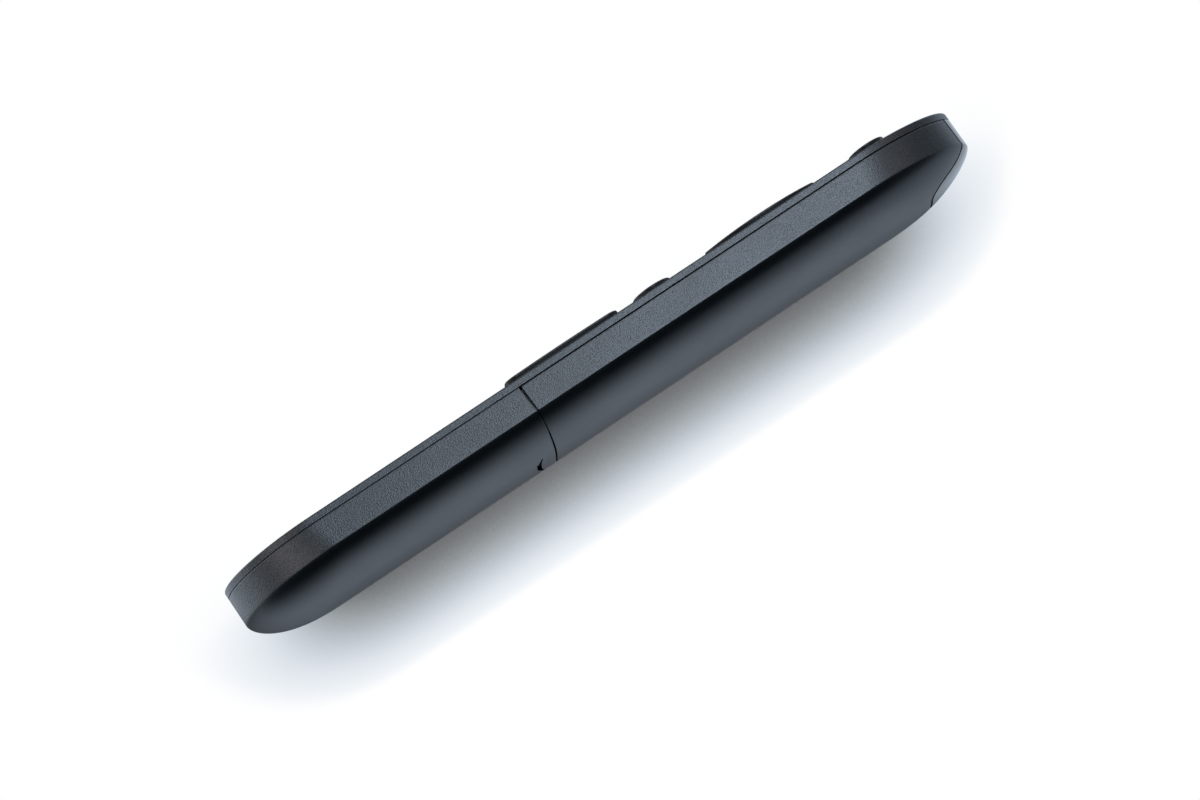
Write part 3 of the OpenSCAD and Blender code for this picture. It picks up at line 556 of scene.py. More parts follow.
def sectorKey(node, turn):
    k = keys
    top, e = faceZ + k["padHeight"], k["edge"]
    gap = k["spoke"] / 2 + k["play"]
    low = k["flangeTop"] - overlap
    inside = [(-inset, z) for inset, z in roundedEdge(e, top, k["edgeSteps"])]
    profile = [(True, 0, low)] + [(True, *edge) for edge in inside]
    shares = [i / k["edgeSteps"] for i in range(1, k["edgeSteps"])]
    profile += [(share, 0, top - k["padDish"] * sin(pi * share)) for share in shares]
    profile += [(False, *edge) for edge in reversed(inside)] + [(False, 0, low)]
    steps = k["padSteps"]
    loops = []
    for s in range(steps + 1):
        ends = [sectorPoint(-e, gap, inner, s / steps) for inner in (True, False)]
        loop = []
        for kind, margin, z in profile:    # at the inner side, the outer one or a share of the way
            if isinstance(kind, bool):
                x, y = sectorPoint(margin, gap, kind, s / steps)
            else:
                x, y = (p + (q - p) * kind for p, q in zip(*ends))
            loop.append((*turned(x, y, turn, k["padY"]), z))
        loops.append(loop)
    body = solid(node.replace("_k", "K"), loops)
    roundEdges(body, k["padEdge"], segments=3, angle=55)
    flange = prism("flange", sectorOutline(turn, k["flangeOut"], gap - k["flangeOut"]),
                   k["flangeLow"], k["flangeTop"])
    return joinInto(body, flange)


def rockerTop(centre):    # crowned along and, more gently, across
    k = keys
    crownZ = faceZ + k["rockerHeight"] + k["rockerCrown"]
    alongR = crownRadius(k["rockerLength"] / 2, k["rockerCrown"])
    acrossR = crownRadius(k["rockerWidth"] / 2, k["rockerAcross"])
    return lambda x, y: (crownZ - alongR + sqrt(alongR ** 2 - (y - centre[1]) ** 2)
                         - acrossR + sqrt(acrossR ** 2 - (x - centre[0]) ** 2))


def rockerKey(node, centre):
    k = keys
    length, width = k["rockerLength"], k["rockerWidth"]
    topZ = rockerTop(centre)
    crownZ = topZ(*centre)
    levels = [(0, k["flangeLow"])] + roundedEdge(k["edge"], crownZ, k["edgeSteps"])
    loops = [atHeight(roundedRectangle(centre, width - 2 * inset, length - 2 * inset,
                                       k["rockerCorner"] - inset), z) for inset, z in levels]
    body = solid(node.replace("_r", "R"), loops)
    bm = bmesh.new()
    bm.from_mesh(body.data)
    for axis, reach, steps in zip(((0, 1, 0), (1, 0, 0)), (length, width), k["rockerCuts"]):
        for i in range(1, steps):
            at = (Vector(axis) * (reach * (i / steps - 0.5)) + Vector((*centre, 0))) * mm
            bmesh.ops.bisect_plane(bm, geom=bm.verts[:] + bm.edges[:] + bm.faces[:], plane_co=at,
                                   plane_no=axis)
    for vert in bm.verts:
        x, y, z = vert.co / mm
        if z > k["flangeTop"]:
            vert.co.z -= (crownZ - topZ(x, y)) * mm
    bm.to_mesh(body.data)
    bm.free()
    tidyMesh(body)
    flange = prism("flange", roundedRectangle(centre, width + 2 * k["flangeOut"], k["rockerFlange"], 0.1, 2),
                   k["flangeLow"], k["flangeTop"] - overlap)
    ridge = prism("ridge", roundedRectangle(centre, *k["ridge"], 0.3, 3),
                  k["flangeLow"] - k["ridgeDepth"], k["flangeLow"])
    return joinInto(body, flange, ridge)


def ringTop(x, y):    # shallow dish round the direction keys
    k = keys
    run = k["padOuter"] - k["padInner"] - 2 * k["edge"]
    share = (k["padOuter"] - k["edge"] - sqrt(x ** 2 + (y - k["padY"]) ** 2)) / run
    return faceZ + k["padHeight"] - k["padDish"] * sin(pi * share)


# Printed marks: thin raised ink lines that follow each key's top

ink = {"width": 0.34, "proud": 0.02, "depth": 0.1, "step": 0.5,
       "chevron": ((-0.45, 1.5), (0.45, 0), (-0.45, -1.5))}


def closed(path):
    return path + path[:1]


marks = {
    "power_key": [arc(1.35, 128, 412), [(0, 0.5), (0, 2.0)]],
    "source_key": [[(-0.9, 0.7), (-0.9, 1.3), (1.8, 1.3), (1.8, -1.3), (-0.9, -1.3), (-0.9, -0.7)],
                   [(-2.0, 0), (0.5, 0)], [(-0.2, 0.7), (0.5, 0), (-0.2, -0.7)]],
    "ok_key": [closed(arc(1.7, 0, 350, 35))],
    "back_key": [[(1.5, -1.1), (1.5, 0.3), (-1.3, 0.3)], [(-0.5, 1.1), (-1.3, 0.3), (-0.5, -0.5)]],
    "home_key": [closed([(-1.3, -1.2), (1.3, -1.2), (1.3, 0.3), (0, 1.5), (-1.3, 0.3)])],
    "menu_key": [[(-1.4, y), (1.4, y)] for y in (-0.9, 0, 0.9)],
    "mute_key": [closed([(-1.7, -0.5), (-1.0, -0.5), (-0.2, -1.2), (-0.2, 1.2), (-1.0, 0.5), (-1.7, 0.5)]),
                 [(0.6, -0.6), (1.7, 0.6)], [(0.6, 0.6), (1.7, -0.6)]],
    "play_key": [closed([(-1.6, -1.1), (0.2, 0), (-1.6, 1.1)]), [(0.9, -1.1), (0.9, 1.1)],
                 [(1.7, -1.1), (1.7, 1.1)]],
    "volume_rocker": [[(-1.1, 9.8), (1.1, 9.8)], [(0, 8.7), (0, 10.9)], [(-1.1, -9.8), (1.1, -9.8)],
                      [(-1, -0.8), (-1, -0.2)], [(0, -0.8), (0, 0.4)], [(1, -0.8), (1, 1.0)]],
    "channel_rocker": [[(-1.1, 9.3), (0, 10.4), (1.1, 9.3)], [(-1.1, -9.3), (0, -10.4), (1.1, -9.3)],
                       closed([(-1.3, -0.9), (1.3, -0.9), (1.3, 0.9), (-1.3, 0.9)])],
}


def inkLine(path, centre, topZ):
    isClosed = path[0] == path[-1]
    dense = []
    for (ax, ay), (bx, by) in zip(path, path[1:]):
        steps = max(1, ceil(sqrt((bx - ax) ** 2 + (by - ay) ** 2) / ink["step"]))
        dense += [Vector((ax + (bx - ax) * i / steps, ay + (by - ay) * i / steps)) for i in range(steps)]
    if not isClosed:
        dense.append(Vector(path[-1]))
    loops = []
    for i, point in enumerate(dense):
        before = dense[i - 1] if i or isClosed else point
        after = dense[(i + 1) % len(dense)] if i < len(dense) - 1 or isClosed else point
        way = [(b - a).normalized() for a, b in ((before, point), (point, after)) if (b - a).length]
        along = sum(way, Vector((0, 0))).normalized()
        mitre = 1 / max(0.5, along.dot(way[0]))
        side = Vector((-along.y, along.x)) * ink["width"] / 2 * mitre
        left, right = point + side + Vector(centre), point - side + Vector(centre)
        corners = ((left, -ink["depth"]), (right, -ink["depth"]), (right, ink["proud"]), (left, ink["proud"]))
        loops.append([(q.x, q.y, topZ(q.x, q.y) + lift) for q, lift in corners])
    return newPiece("ink", *stack(closed(loops))) if isClosed else solid("ink", loops)


def printMarks(piece, strokes, centre, topZ):    # ink takes the piece's second material
    lines = [inkLine(path, centre, topZ) for path in strokes]
    first = len(piece.data.polygons)
    joinInto(piece, *lines)
    for face in piece.data.polygons[first:]:
        face.material_index = 1


keyPieces = {node: roundKey(node, *sizes) for node, sizes in roundPlaces.items()}
for node, turn in sectorTurns.items():
    keyPieces[node] = sectorKey(node, turn)
for node, place in rockerPlaces.items():
    keyPieces[node] = rockerKey(node, place)
for node, piece in keyPieces.items():
    if node in sectorTurns:
        middle = (keys["padInner"] + keys["padOuter"]) / 2
        chevron = [turned(middle + x, y, sectorTurns[node]) for x, y in ink["chevron"]]
        printMarks(piece, [chevron], (0, keys["padY"]), ringTop)
    elif node in rockerPlaces:
        printMarks(piece, marks[node], rockerPlaces[node], rockerTop(rockerPlaces[node]))
    else:
        centre, radius, height = roundPlaces[node]
        printMarks(piece, marks[node], centre, dishTop(centre, radius, height))
    keepFlat(piece)
    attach(piece, node)
    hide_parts(node)


print("springs and screws")


def setInputs(tree, node, values):    # a list holds the links of one socket that takes many
    for label, value in values.items():
        for source in value if isinstance(value, list) else [value]:
            if isinstance(source, bpy.types.NodeSocket):
                tree.links.new(source, node.inputs[label])
            else:
                node.inputs[label].default_value = source


def addNode(tree, kind, values=None, **settings):    # node with its settings, and its inputs set or linked
    node = tree.nodes.new(kind)
    for label, value in settings.items():
        setattr(node, label, value)
    setInputs(tree, node, values or {})
    return node


def newGroup(name, kind, inputs, outputs):    # an input is a float with its default, or a vector without
    tree = bpy.data.node_groups.new(name, kind)
    for label, value in inputs.items():
        kind = "Vector" if value is None else "Float"
        socket = tree.interface.new_socket(label, in_out="INPUT", socket_type="NodeSocket" + kind)
        if value is not None:
            socket.default_value = value
    for label, output in outputs.items():
        tree.interface.new_socket(label, in_out="OUTPUT", socket_type="NodeSocket" + output)
    return tree, addNode(tree, "NodeGroupInput").outputs


def mathNode(tree, operation, a, b):
    return addNode(tree, "ShaderNodeMath", {0: a, 1: b}, operation=operation).outputs[0]


def times(tree, a, b):
    return mathNode(tree, "MULTIPLY", a, b)


def sweep(tree, path, profile):
    path, profile = path.outputs[0], profile.outputs[0]
    return addNode(tree, "GeometryNodeCurveToMesh",
                   {"Curve": path, "Profile Curve": profile, "Fill Caps": True}).outputs[0]


def endTree(tree, parts):
    joined = addNode(tree, "GeometryNodeJoinGeometry", {0: parts})
    real = addNode(tree, "GeometryNodeRealizeInstances", {0: joined.outputs[0]})
    finish = addNode(tree, "GeometryNodeSetMaterial", {"Geometry": real.outputs[0]})
    addNode(tree, "NodeGroupOutput", {0: finish.outputs[0]})
    return tree


def coilTree():    # conical wire coil with a flat closed turn at its base
    tree, put = newGroup("coilSpring", "GeometryNodeTree",
                         {"Base Radius": 0.003, "Tip Radius": 0.002, "Wire Radius": 0.0003, "Turns": 3.5,
                          "Length": 0.004}, {"Geometry": "Geometry"})
    wire = addNode(tree, "GeometryNodeCurvePrimitiveCircle", {"Resolution": 12, "Radius": put["Wire Radius"]})
    parts = []
    for turns, height, end in ((put["Turns"], put["Length"], "Tip Radius"), (1.0, 0.0, "Base Radius")):
        coil = addNode(tree, "GeometryNodeCurveSpiral",
                       {"Resolution": 40, "Rotations": turns, "Height": height,
                        "Start Radius": put["Base Radius"], "End Radius": put[end]})
        parts.append(sweep(tree, coil, wire))
    return endTree(tree, parts)


# Shares of the screw's own sizes
screwShape = {"sides": 40, "rim": 0.55, "dome": 0.62, "cross": (1.15, 0.26), "crossHeight": 0.95,
              "core": 0.82, "threaded": 0.86, "threadSteps": 24}


def screwTree():    # pan head with a cross recess, shank and a helical thread, its head's rim at z 0
    shape = screwShape
    tree, put = newGroup("crossScrew", "GeometryNodeTree",
                         {"Head Radius": 0.0019, "Head Height": 0.0011, "Shank Radius": 0.001,
                          "Shank Length": 0.006, "Pitch": 0.0007}, {"Geometry": "Geometry"})
    radius, height, length = put["Head Radius"], put["Head Height"], put["Shank Length"]

    def raised(body, z):
        place = addNode(tree, "ShaderNodeCombineXYZ", {2: z})
        return addNode(tree, "GeometryNodeTransform",
                       {0: body.outputs[0], "Translation": place.outputs[0]}).outputs[0]

    def cylinder(radius, depth, low, taper=1.0):
        return raised(addNode(tree, "GeometryNodeMeshCone",
                              {"Vertices": shape["sides"], "Radius Bottom": radius,
                               "Radius Top": times(tree, radius, taper), "Depth": depth}), low)

    rimHeight = times(tree, height, shape["rim"])
    rim = cylinder(radius, rimHeight, 0.0)
    dome = cylinder(radius, times(tree, height, 1 - shape["rim"]), rimHeight, shape["dome"])
    head = addNode(tree, "GeometryNodeMeshBoolean", {"Mesh 2": [rim, dome]}, operation="UNION")
    bars = []
    for wide, narrow in (shape["cross"], reversed(shape["cross"])):
        size = addNode(tree, "ShaderNodeCombineXYZ",
                       {0: times(tree, radius, wide), 1: times(tree, radius, narrow), 2: height})
        bar = addNode(tree, "GeometryNodeMeshCube", {"Size": size.outputs[0]})
        bars.append(raised(bar, times(tree, height, shape["crossHeight"])))
    cut = addNode(tree, "GeometryNodeMeshBoolean", {"Mesh 1": head.outputs[0], "Mesh 2": bars},
                  operation="DIFFERENCE")
    core = times(tree, put["Shank Radius"], shape["core"])
    shank = cylinder(core, length, times(tree, length, -1.0))
    reach = times(tree, length, shape["threaded"])
    helix = addNode(tree, "GeometryNodeCurveSpiral",
                    {"Resolution": shape["threadSteps"], "Start Radius": core, "End Radius": core,
                     "Rotations": mathNode(tree, "DIVIDE", reach, put["Pitch"]),
                     "Height": times(tree, reach, -1.0)})
    ridge = addNode(tree, "GeometryNodeCurvePrimitiveCircle",
                    {"Resolution": 4, "Radius": mathNode(tree, "SUBTRACT", put["Shank Radius"], core)})
    return endTree(tree, [cut.outputs[0], shank, sweep(tree, helix, ridge)])


def treeMesh(name, tree, sizes, direction, place):    # the tree's result as a plain mesh at its place
    piece = addObject(name, bpy.data.meshes.new(name))
    step = piece.modifiers.new("nodes", "NODES")
    step.node_group = tree
    for socket in tree.interface.items_tree:
        if socket.name in sizes:
            step[socket.identifier] = sizes[socket.name]
    bakeModifiers(piece)
    turn = Vector((0, 0, 1)).rotation_difference(Vector(direction)).to_matrix().to_4x4()
    piece.data.transform(Matrix.Translation(Vector(place) * mm) @ turn)
    piece.data.materials.clear()
    tidyMesh(piece)
    return piece


coilSpring = {"baseR": 3.15, "tipR": 1.85, "wire": 0.25, "turns": 3.5, "length": 4.2}
coilNodes = coilTree()
coilValues = {"Base Radius": coilSpring["baseR"] * mm, "Tip Radius": coilSpring["tipR"] * mm,
              "Wire Radius": coilSpring["wire"] * mm, "Turns": coilSpring["turns"],
              "Length": (coilSpring["length"] - 2 * coilSpring["wire"]) * mm}
springLow, springHigh = boxMm("contact_springs")
rightLow, rightHigh = boxMm("right_cell")
cellX, cellZ = (rightLow.x + rightHigh.x) / 2, (rightLow.z + rightHigh.z) / 2
frontSpring = treeMesh("contactSprings", coilNodes, coilValues, (0, -1, 0),
                       (cellX, springHigh.y - coilSpring["wire"], cellZ))
tailSpring = treeMesh("tailSpring", coilNodes, coilValues, (0, 1, 0),
                      (-cellX, springLow.y + coilSpring["wire"], cellZ))
joinInto(frontSpring, tailSpring)
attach(frontSpring, "housing")
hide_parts("contact_springs")

casePlaces = [(side * lip["screwX"], screwY) for side in (-1, 1)]
screws = {"caseScrews": {"node": "case_screws", "places": casePlaces, "head": (1.9, 1.1), "shank": (1.0, 6.0),
                         "pitch": 0.8},
          "boardScrews": {"node": "board_screws", "places": postPlaces, "head": (1.7, 1.1),
                          "shank": (0.75, 3.6), "pitch": 0.6}}
screwNodes = screwTree()
screwPieces = []
for name, kind in screws.items():
    values = dict(zip(("Head Radius", "Head Height", "Shank Radius", "Shank Length", "Pitch"),
                      (size * mm for size in (*kind["head"], *kind["shank"], kind["pitch"]))))
    low, high = boxMm(kind["node"])
    group = [treeMesh(name, screwNodes, values, (0, 0, -1), (*place, low.z + kind["head"][1]))
             for place in kind["places"]]
    joinInto(*group)
    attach(group[0], "housing")
    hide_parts(kind["node"])
    screwPieces.append(group[0])


print("materials")


def spaced(values):    # keywords as the names of sockets
    return {label.replace("_", " "): value for label, value in values.items()}


def noise(tree, vector, scale, **values):
    return addNode(tree, "ShaderNodeTexNoise", {"Vector": vector, "Scale": scale, **values}).outputs["Fac"]


def mapRange(tree, value, start=(0.0, 1.0), end=(0.0, 1.0), **settings):
    return addNode(tree, "ShaderNodeMapRange",
                   {"Value": value, "From Min": start[0], "From Max": start[1], "To Min": end[0],
                    "To Max": end[1]}, **settings).outputs[0]


def axisOf(tree, vector, axis):
    return addNode(tree, "ShaderNodeSeparateXYZ", {"Vector": vector}).outputs[axis]


def grainGroup():    # spark-eroded mould grain: fine pits, and the flecks that its high spots show
    tree, put = newGroup("mouldGrain", "ShaderNodeTree", {"Vector": None, "Scale": 4000.0},
                         {"Height": "Float", "Fleck": "Float"})
    cells = addNode(tree, "ShaderNodeTexVoronoi", {"Vector": put["Vector"], "Scale": put["Scale"],
                                                   "Randomness": 1.0}, feature="SMOOTH_F1")
    fine = noise(tree, put["Vector"], times(tree, put["Scale"], 0.62), Detail=3.0, Roughness=0.6)
    height = mathNode(tree, "ADD", times(tree, cells.outputs["Distance"], 0.55), times(tree, fine, 0.75))
    addNode(tree, "NodeGroupOutput", {"Height": height, "Fleck": mapRange(tree, fine, (0.36, 0.66))})
    return tree


def handlingGroup():    # smears from fingers, and sparse dust
    tree, put = newGroup("handling", "ShaderNodeTree",
                         {"Vector": None, "Smear Scale": 45.0, "Dust Scale": 900.0},
                         {"Smear": "Float", "Dust": "Float"})
    wide = noise(tree, put["Vector"], put["Smear Scale"], Detail=4.0, Roughness=0.55, Distortion=0.6)
    specks = addNode(tree, "ShaderNodeTexVoronoi",
                     {"Vector": put["Vector"], "Scale": put["Dust Scale"]}).outputs
    chance = addNode(tree, "ShaderNodeSeparateColor", {"Color": specks["Color"]}).outputs[0]
    dust = times(tree, mapRange(tree, specks["Distance"], (0.13, 0.05)),
                 mathNode(tree, "GREATER_THAN", chance, 0.88))
    addNode(tree, "NodeGroupOutput", {"Smear": mapRange(tree, wide, (0.3, 0.75)), "Dust": dust})
    return tree


grain, handling = grainGroup(), handlingGroup()


def useGroup(tree, group, place, **values):
    return addNode(tree, "ShaderNodeGroup", {"Vector": place, **spaced(values)}, node_tree=group).outputs


def newMaterial(name, **shaderValues):
    material = bpy.data.materials.new(name)
    material.use_nodes = True
    tree = material.node_tree
    shader = tree.nodes["Principled BSDF"]
    setInputs(tree, shader, spaced(shaderValues))

    def finish(**links):
        setInputs(tree, shader, spaced(links))
        return material

    return tree, addNode(tree, "ShaderNodeTexCoord").outputs["Object"], finish


def colourRamp(tree, value, stops, interpolation="LINEAR"):    # stops are pairs of place and colour
    node = addNode(tree, "ShaderNodeValToRGB", {"Fac": value})
    ramp = node.color_ramp
    ramp.interpolation = interpolation
    while len(ramp.elements) < len(stops):
        ramp.elements.new(0.5)
    for element, (place, colour) in zip(ramp.elements, stops):
        element.position, element.color = place, (*colour, 1)
    return node.outputs[0]


def blendColours(tree, share, low, high):    # colour between two, by a share from 0 to 1
    return colourRamp(tree, share, ((0.0, low), (1.0, high)))


def mixColours(tree, share, *colours):    # as blendColours, and the colours can be sockets
    low, high = (c if isinstance(c, bpy.types.NodeSocket) else (*c, 1) for c in colours)
    return addNode(tree, "ShaderNodeMix", {0: share, 6: low, 7: high}, data_type="RGBA").outputs[2]


def bumpOf(tree, height, depth):
    return addNode(tree, "ShaderNodeBump", {"Height": height, "Distance": depth * mm}).outputs[0]


def mouldedPlastic(name, low, high, roughness, grainSize, grainDepth, smooth=None, **shaderValues):
    tree, place, finish = newMaterial(name, Roughness=roughness[0], **shaderValues)
    pits = useGroup(tree, grain, place, Scale=1 / (grainSize * mm))
    marks = useGroup(tree, handling, place)
    tone = mathNode(tree, "ADD", times(tree, pits["Fleck"], 0.8), times(tree, marks["Smear"], 0.2))
    worn = mathNode(tree, "ADD", times(tree, marks["Smear"], 0.7), times(tree, marks["Dust"], 0.6))
    height = pits["Height"]
    if smooth:    # the hull under the crease is finer than the band
        rising = mapRange(tree, axisOf(tree, place, 2), (smooth[0] * mm, smooth[1] * mm), (smooth[2], 1.0))
        height = times(tree, height, rising)
    return finish(Base_Color=blendColours(tree, tone, low, high),
                  Roughness=mapRange(tree, worn, end=roughness),
                  Normal=bumpOf(tree, height, grainDepth))


charcoal = {"low": (0.003, 0.0045, 0.006), "high": (0.012, 0.0145, 0.017), "roughness": (0.34, 0.42),
            "grainSize": 0.25, "grainDepth": 0.062, "smooth": (6.0, 6.6, 0.12)}
housingPlastic = mouldedPlastic("charcoalPlastic", **charcoal, Specular_IOR_Level=0.56,
                                Specular_Tint=(0.80, 0.90, 1.0, 1))
keyPlastic = mouldedPlastic("keyPlastic", (0.004, 0.0045, 0.005), (0.009, 0.0095, 0.011), (0.30, 0.42), 0.25,
                            0.006, Specular_IOR_Level=0.36, Specular_Tint=(0.86, 0.94, 1.0, 1))
trayPlastic = mouldedPlastic("trayPlastic", (0.013, 0.013, 0.014), (0.024, 0.024, 0.026), (0.42, 0.55), 0.4,
                             0.012)
keyInk = mouldedPlastic("keyInk", (0.50, 0.51, 0.52), (0.62, 0.63, 0.64), (0.5, 0.6), 0.15, 0.004)


def windowFilter():    # polished dark filter, with hairline scratches
    tree, place, finish = newMaterial("windowFilter", Roughness=0.08, Coat_Weight=0.3, Coat_Roughness=0.04)
    marks = useGroup(tree, handling, place, Smear_Scale=120.0, Dust_Scale=700.0)
    stretch = addNode(tree, "ShaderNodeMapping", {"Vector": place, "Rotation": (0.3, 0.5, 0.2),
                                                  "Scale": (1.0, 14.0, 1.0)})
    lines = noise(tree, stretch.outputs[0], 900.0, Detail=2.0)
    dull = mathNode(tree, "ADD", times(tree, marks["Smear"], 0.35), mapRange(tree, lines, (0.68, 0.78)))
    return finish(Base_Color=blendColours(tree, marks["Smear"], (0.010, 0.006, 0.010), (0.016, 0.009, 0.014)),
                  Roughness=mapRange(tree, dull, end=(0.06, 0.22)))


def solderMask():    # green laminate with copper tracks under the mask
    tree, place, finish = newMaterial("solderMask", Roughness=0.3)
    tracks = addNode(tree, "ShaderNodeTexBrick",
                     {"Vector": place, "Scale": 260.0, "Mortar Size": 0.06, "Mortar Smooth": 0.1,
                      "Brick Width": 1.7, "Row Height": 0.32})
    shown = mathNode(tree, "GREATER_THAN", noise(tree, place, 90.0), 0.47)
    vias = addNode(tree, "ShaderNodeTexVoronoi", {"Vector": place, "Scale": 240.0, "Randomness": 0.7})
    dots = mapRange(tree, vias.outputs["Distance"], (0.16, 0.12))
    mask = mathNode(tree, "MAXIMUM", times(tree, tracks.outputs["Fac"], shown), times(tree, dots, shown))
    return finish(Base_Color=blendColours(tree, mask, (0.008, 0.075, 0.03), (0.03, 0.2, 0.07)),
                  Roughness=mapRange(tree, mask, end=(0.34, 0.22)),
                  Normal=bumpOf(tree, mask, 0.03))


def rubber(name, low, high, roughness):
    tree, place, finish = newMaterial(name, Roughness=roughness, Sheen_Weight=0.15, Sheen_Roughness=0.5)
    soft = noise(tree, place, 1600.0, Detail=3.0)
    marks = useGroup(tree, handling, place)
    return finish(Base_Color=blendColours(tree, soft, low, high),
                  Roughness=mapRange(tree, marks["Dust"], end=(roughness, roughness + 0.12)),
                  Normal=bumpOf(tree, soft, 0.02))


def platedMetal(name, low, high, roughness, brush):    # brushed along one direction
    tree, place, finish = newMaterial(name, Roughness=roughness[0], Metallic=1.0)
    stretch = addNode(tree, "ShaderNodeMapping", {"Vector": place, "Scale": brush})
    lines = noise(tree, stretch.outputs[0], 2500.0, Detail=3.0)
    marks = useGroup(tree, handling, place, Smear_Scale=260.0)
    return finish(Base_Color=blendColours(tree, marks["Smear"], low, high),
                  Roughness=mapRange(tree, lines, end=roughness),
                  Normal=bumpOf(tree, lines, 0.006))


def metalEnds(name, body, metal, roughness, shine, ends, axis, middle):
    # plastic between two stations along an axis and bare metal beyond them
    tree, place, finish = newMaterial(name, Roughness=roughness)
    centre = mathNode(tree, "SUBTRACT", axisOf(tree, place, axis), middle * mm)
    outside = mathNode(tree, "GREATER_THAN", mathNode(tree, "ABSOLUTE", centre, 0.0), ends * mm)
    speckle = noise(tree, place, 2200.0, Detail=3.0)
    both = [blendColours(tree, speckle, *pair) for pair in (body, metal)]
    return finish(Base_Color=mixColours(tree, outside, *both),
                  Metallic=outside,
                  Roughness=mapRange(tree, outside, end=(roughness, shine)),
                  Normal=bumpOf(tree, speckle, 0.008))


jacket = {"edge": 0.014, "shoulder": 0.968}
jacket["bands"] = ((0.0, (0.55, 0.55, 0.54)), (jacket["edge"], (0.018, 0.05, 0.13)), (0.68, (0.5, 0.5, 0.5)),
                   (0.70, (0.42, 0.16, 0.045)), (jacket["shoulder"], (0.6, 0.6, 0.59)))


def cellJacket(name, baseY, tipY):    # printed film in two tones, with bare steel ends
    tree, place, finish = newMaterial(name, Roughness=0.25, Coat_Weight=0.4, Coat_Roughness=0.12)
    share = mapRange(tree, axisOf(tree, place, 1), (baseY * mm, tipY * mm))
    film = times(tree, mathNode(tree, "GREATER_THAN", share, jacket["edge"]),
                 mathNode(tree, "LESS_THAN", share, jacket["shoulder"]))
    marks = useGroup(tree, handling, place, Smear_Scale=180.0)
    grime = times(tree, marks["Smear"], 0.25)
    bands = colourRamp(tree, share, jacket["bands"], "CONSTANT")
    return finish(Base_Color=mixColours(tree, grime, bands, (0.02, 0.02, 0.02)),
                  Metallic=mathNode(tree, "SUBTRACT", 1.0, film),
                  Roughness=mapRange(tree, marks["Smear"], end=(0.2, 0.34)))


steel = platedMetal("nickelSteel", (0.58, 0.57, 0.54), (0.72, 0.71, 0.68), (0.22, 0.38), (1.0, 1.0, 9.0))
zinc = platedMetal("zincSteel", (0.34, 0.34, 0.35), (0.46, 0.46, 0.47), (0.28, 0.45), (6.0, 6.0, 1.0))
leftLow, leftHigh = boxMm("left_cell")
chipLow, chipHigh = boxMm("controller_chip")
canLow, canHigh = boxMm("storage_capacitor")
diodeLow, diodeHigh = boxMm("ir_diodes")
bareEnds = {"chipLead": 1.15, "canCrimp": 0.06, "diodeLens": 3.02}    # lengths of metal, or of the lens
tin = ((0.5, 0.5, 0.5), (0.62, 0.62, 0.61))
epoxy = ((0.012, 0.012, 0.012), (0.022, 0.022, 0.022))
sleeve = ((0.012, 0.02, 0.07), (0.02, 0.035, 0.10))
resin = ((0.012, 0.007, 0.018), (0.02, 0.012, 0.028))
nodeMaterials = {
    "battery_tray": trayPlastic,
    "circuit_board": solderMask(),
    "keypad_mat": rubber("matRubber", (0.13, 0.135, 0.14), (0.19, 0.195, 0.20), 0.62),
    "contact_pills": rubber("pillRubber", (0.010, 0.010, 0.010), (0.022, 0.022, 0.022), 0.8),
    "controller_chip": metalEnds("chipEpoxy", epoxy, tin, 0.55, 0.3,
                                 (chipHigh.x - chipLow.x) / 2 - bareEnds["chipLead"], 0, 0.0),
    "resonator": mouldedPlastic("resonatorDip", (0.40, 0.17, 0.022), (0.55, 0.26, 0.05), (0.14, 0.26), 0.9,
                                0.05, Coat_Weight=0.5),
    "storage_capacitor": metalEnds("capacitorSleeve", sleeve, tin, 0.25, 0.3,
                                   (canHigh.y - canLow.y) / 2 - bareEnds["canCrimp"], 1,
                                   (canHigh.y + canLow.y) / 2),
    "ir_diodes": metalEnds("diodeResin", resin, tin, 0.07, 0.25,
                           diodeHigh.y - diodeLow.y - bareEnds["diodeLens"], 1, diodeHigh.y),
    "front_contacts": steel,
    "tail_contact": steel,
    "left_cell": cellJacket("leftCellJacket", leftLow.y, leftHigh.y),
    "right_cell": cellJacket("rightCellJacket", rightHigh.y, rightLow.y),
}
for node, material in nodeMaterials.items():
    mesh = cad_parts[node].data
    mesh.materials.clear()
    mesh.materials.append(material)
pieceMaterials = [(coverPiece, housingPlastic), (rearShell, housingPlastic), (batteryBoot, housingPlastic),
                  (windowPiece, windowFilter()), (frontSpring, steel)]
pieceMaterials += [(piece, zinc) for piece in screwPieces]
pieceMaterials += [(piece, keyPlastic) for piece in keyPieces.values()]
for piece, material in pieceMaterials:    # clearing would put the ink back on the first material
    piece.data.materials.append(material)
for piece in keyPieces.values():
    piece.data.materials.append(keyInk)


print("camera, stage and lights")

view = {"aim": (0, 0, 7.5), "azimuth": 84.06, "elevation": -9.32, "distance": 937.0, "roll": 34.55,
        "lens": 135.8, "sensor": 36, "image": (1200, 800), "aimPixel": (606.9, 379.6), "clipStart": 0.01}


def makeCamera():
    a, e, roll = (radians(view[k]) for k in ("azimuth", "elevation", "roll"))
    away = Vector((sin(a) * cos(e), -cos(a) * cos(e), sin(e)))
    right = (-away).cross(Vector((0, 0, 1))).normalized()
    up = right.cross(-away)
    turnedRight = right * cos(roll) - up * sin(roll)
    turnedUp = right * sin(roll) + up * cos(roll)
    camera = addObject("camera", bpy.data.cameras.new("camera"))
    axes = Matrix((turnedRight, turnedUp, away)).transposed().to_4x4()
    camera.matrix_world = Matrix.Translation((Vector(view["aim"]) + away * view["distance"]) * mm) @ axes
    lens = camera.data
    (width, height), (aimX, aimY) = view["image"], view["aimPixel"]
    lens.sensor_width, lens.lens, lens.clip_start = view["sensor"], view["lens"], view["clipStart"]
    lens.shift_x = (width / 2 - aimX) / width
    lens.shift_y = (aimY - height / 2) / width
    bpy.context.scene.camera = camera


makeCamera()


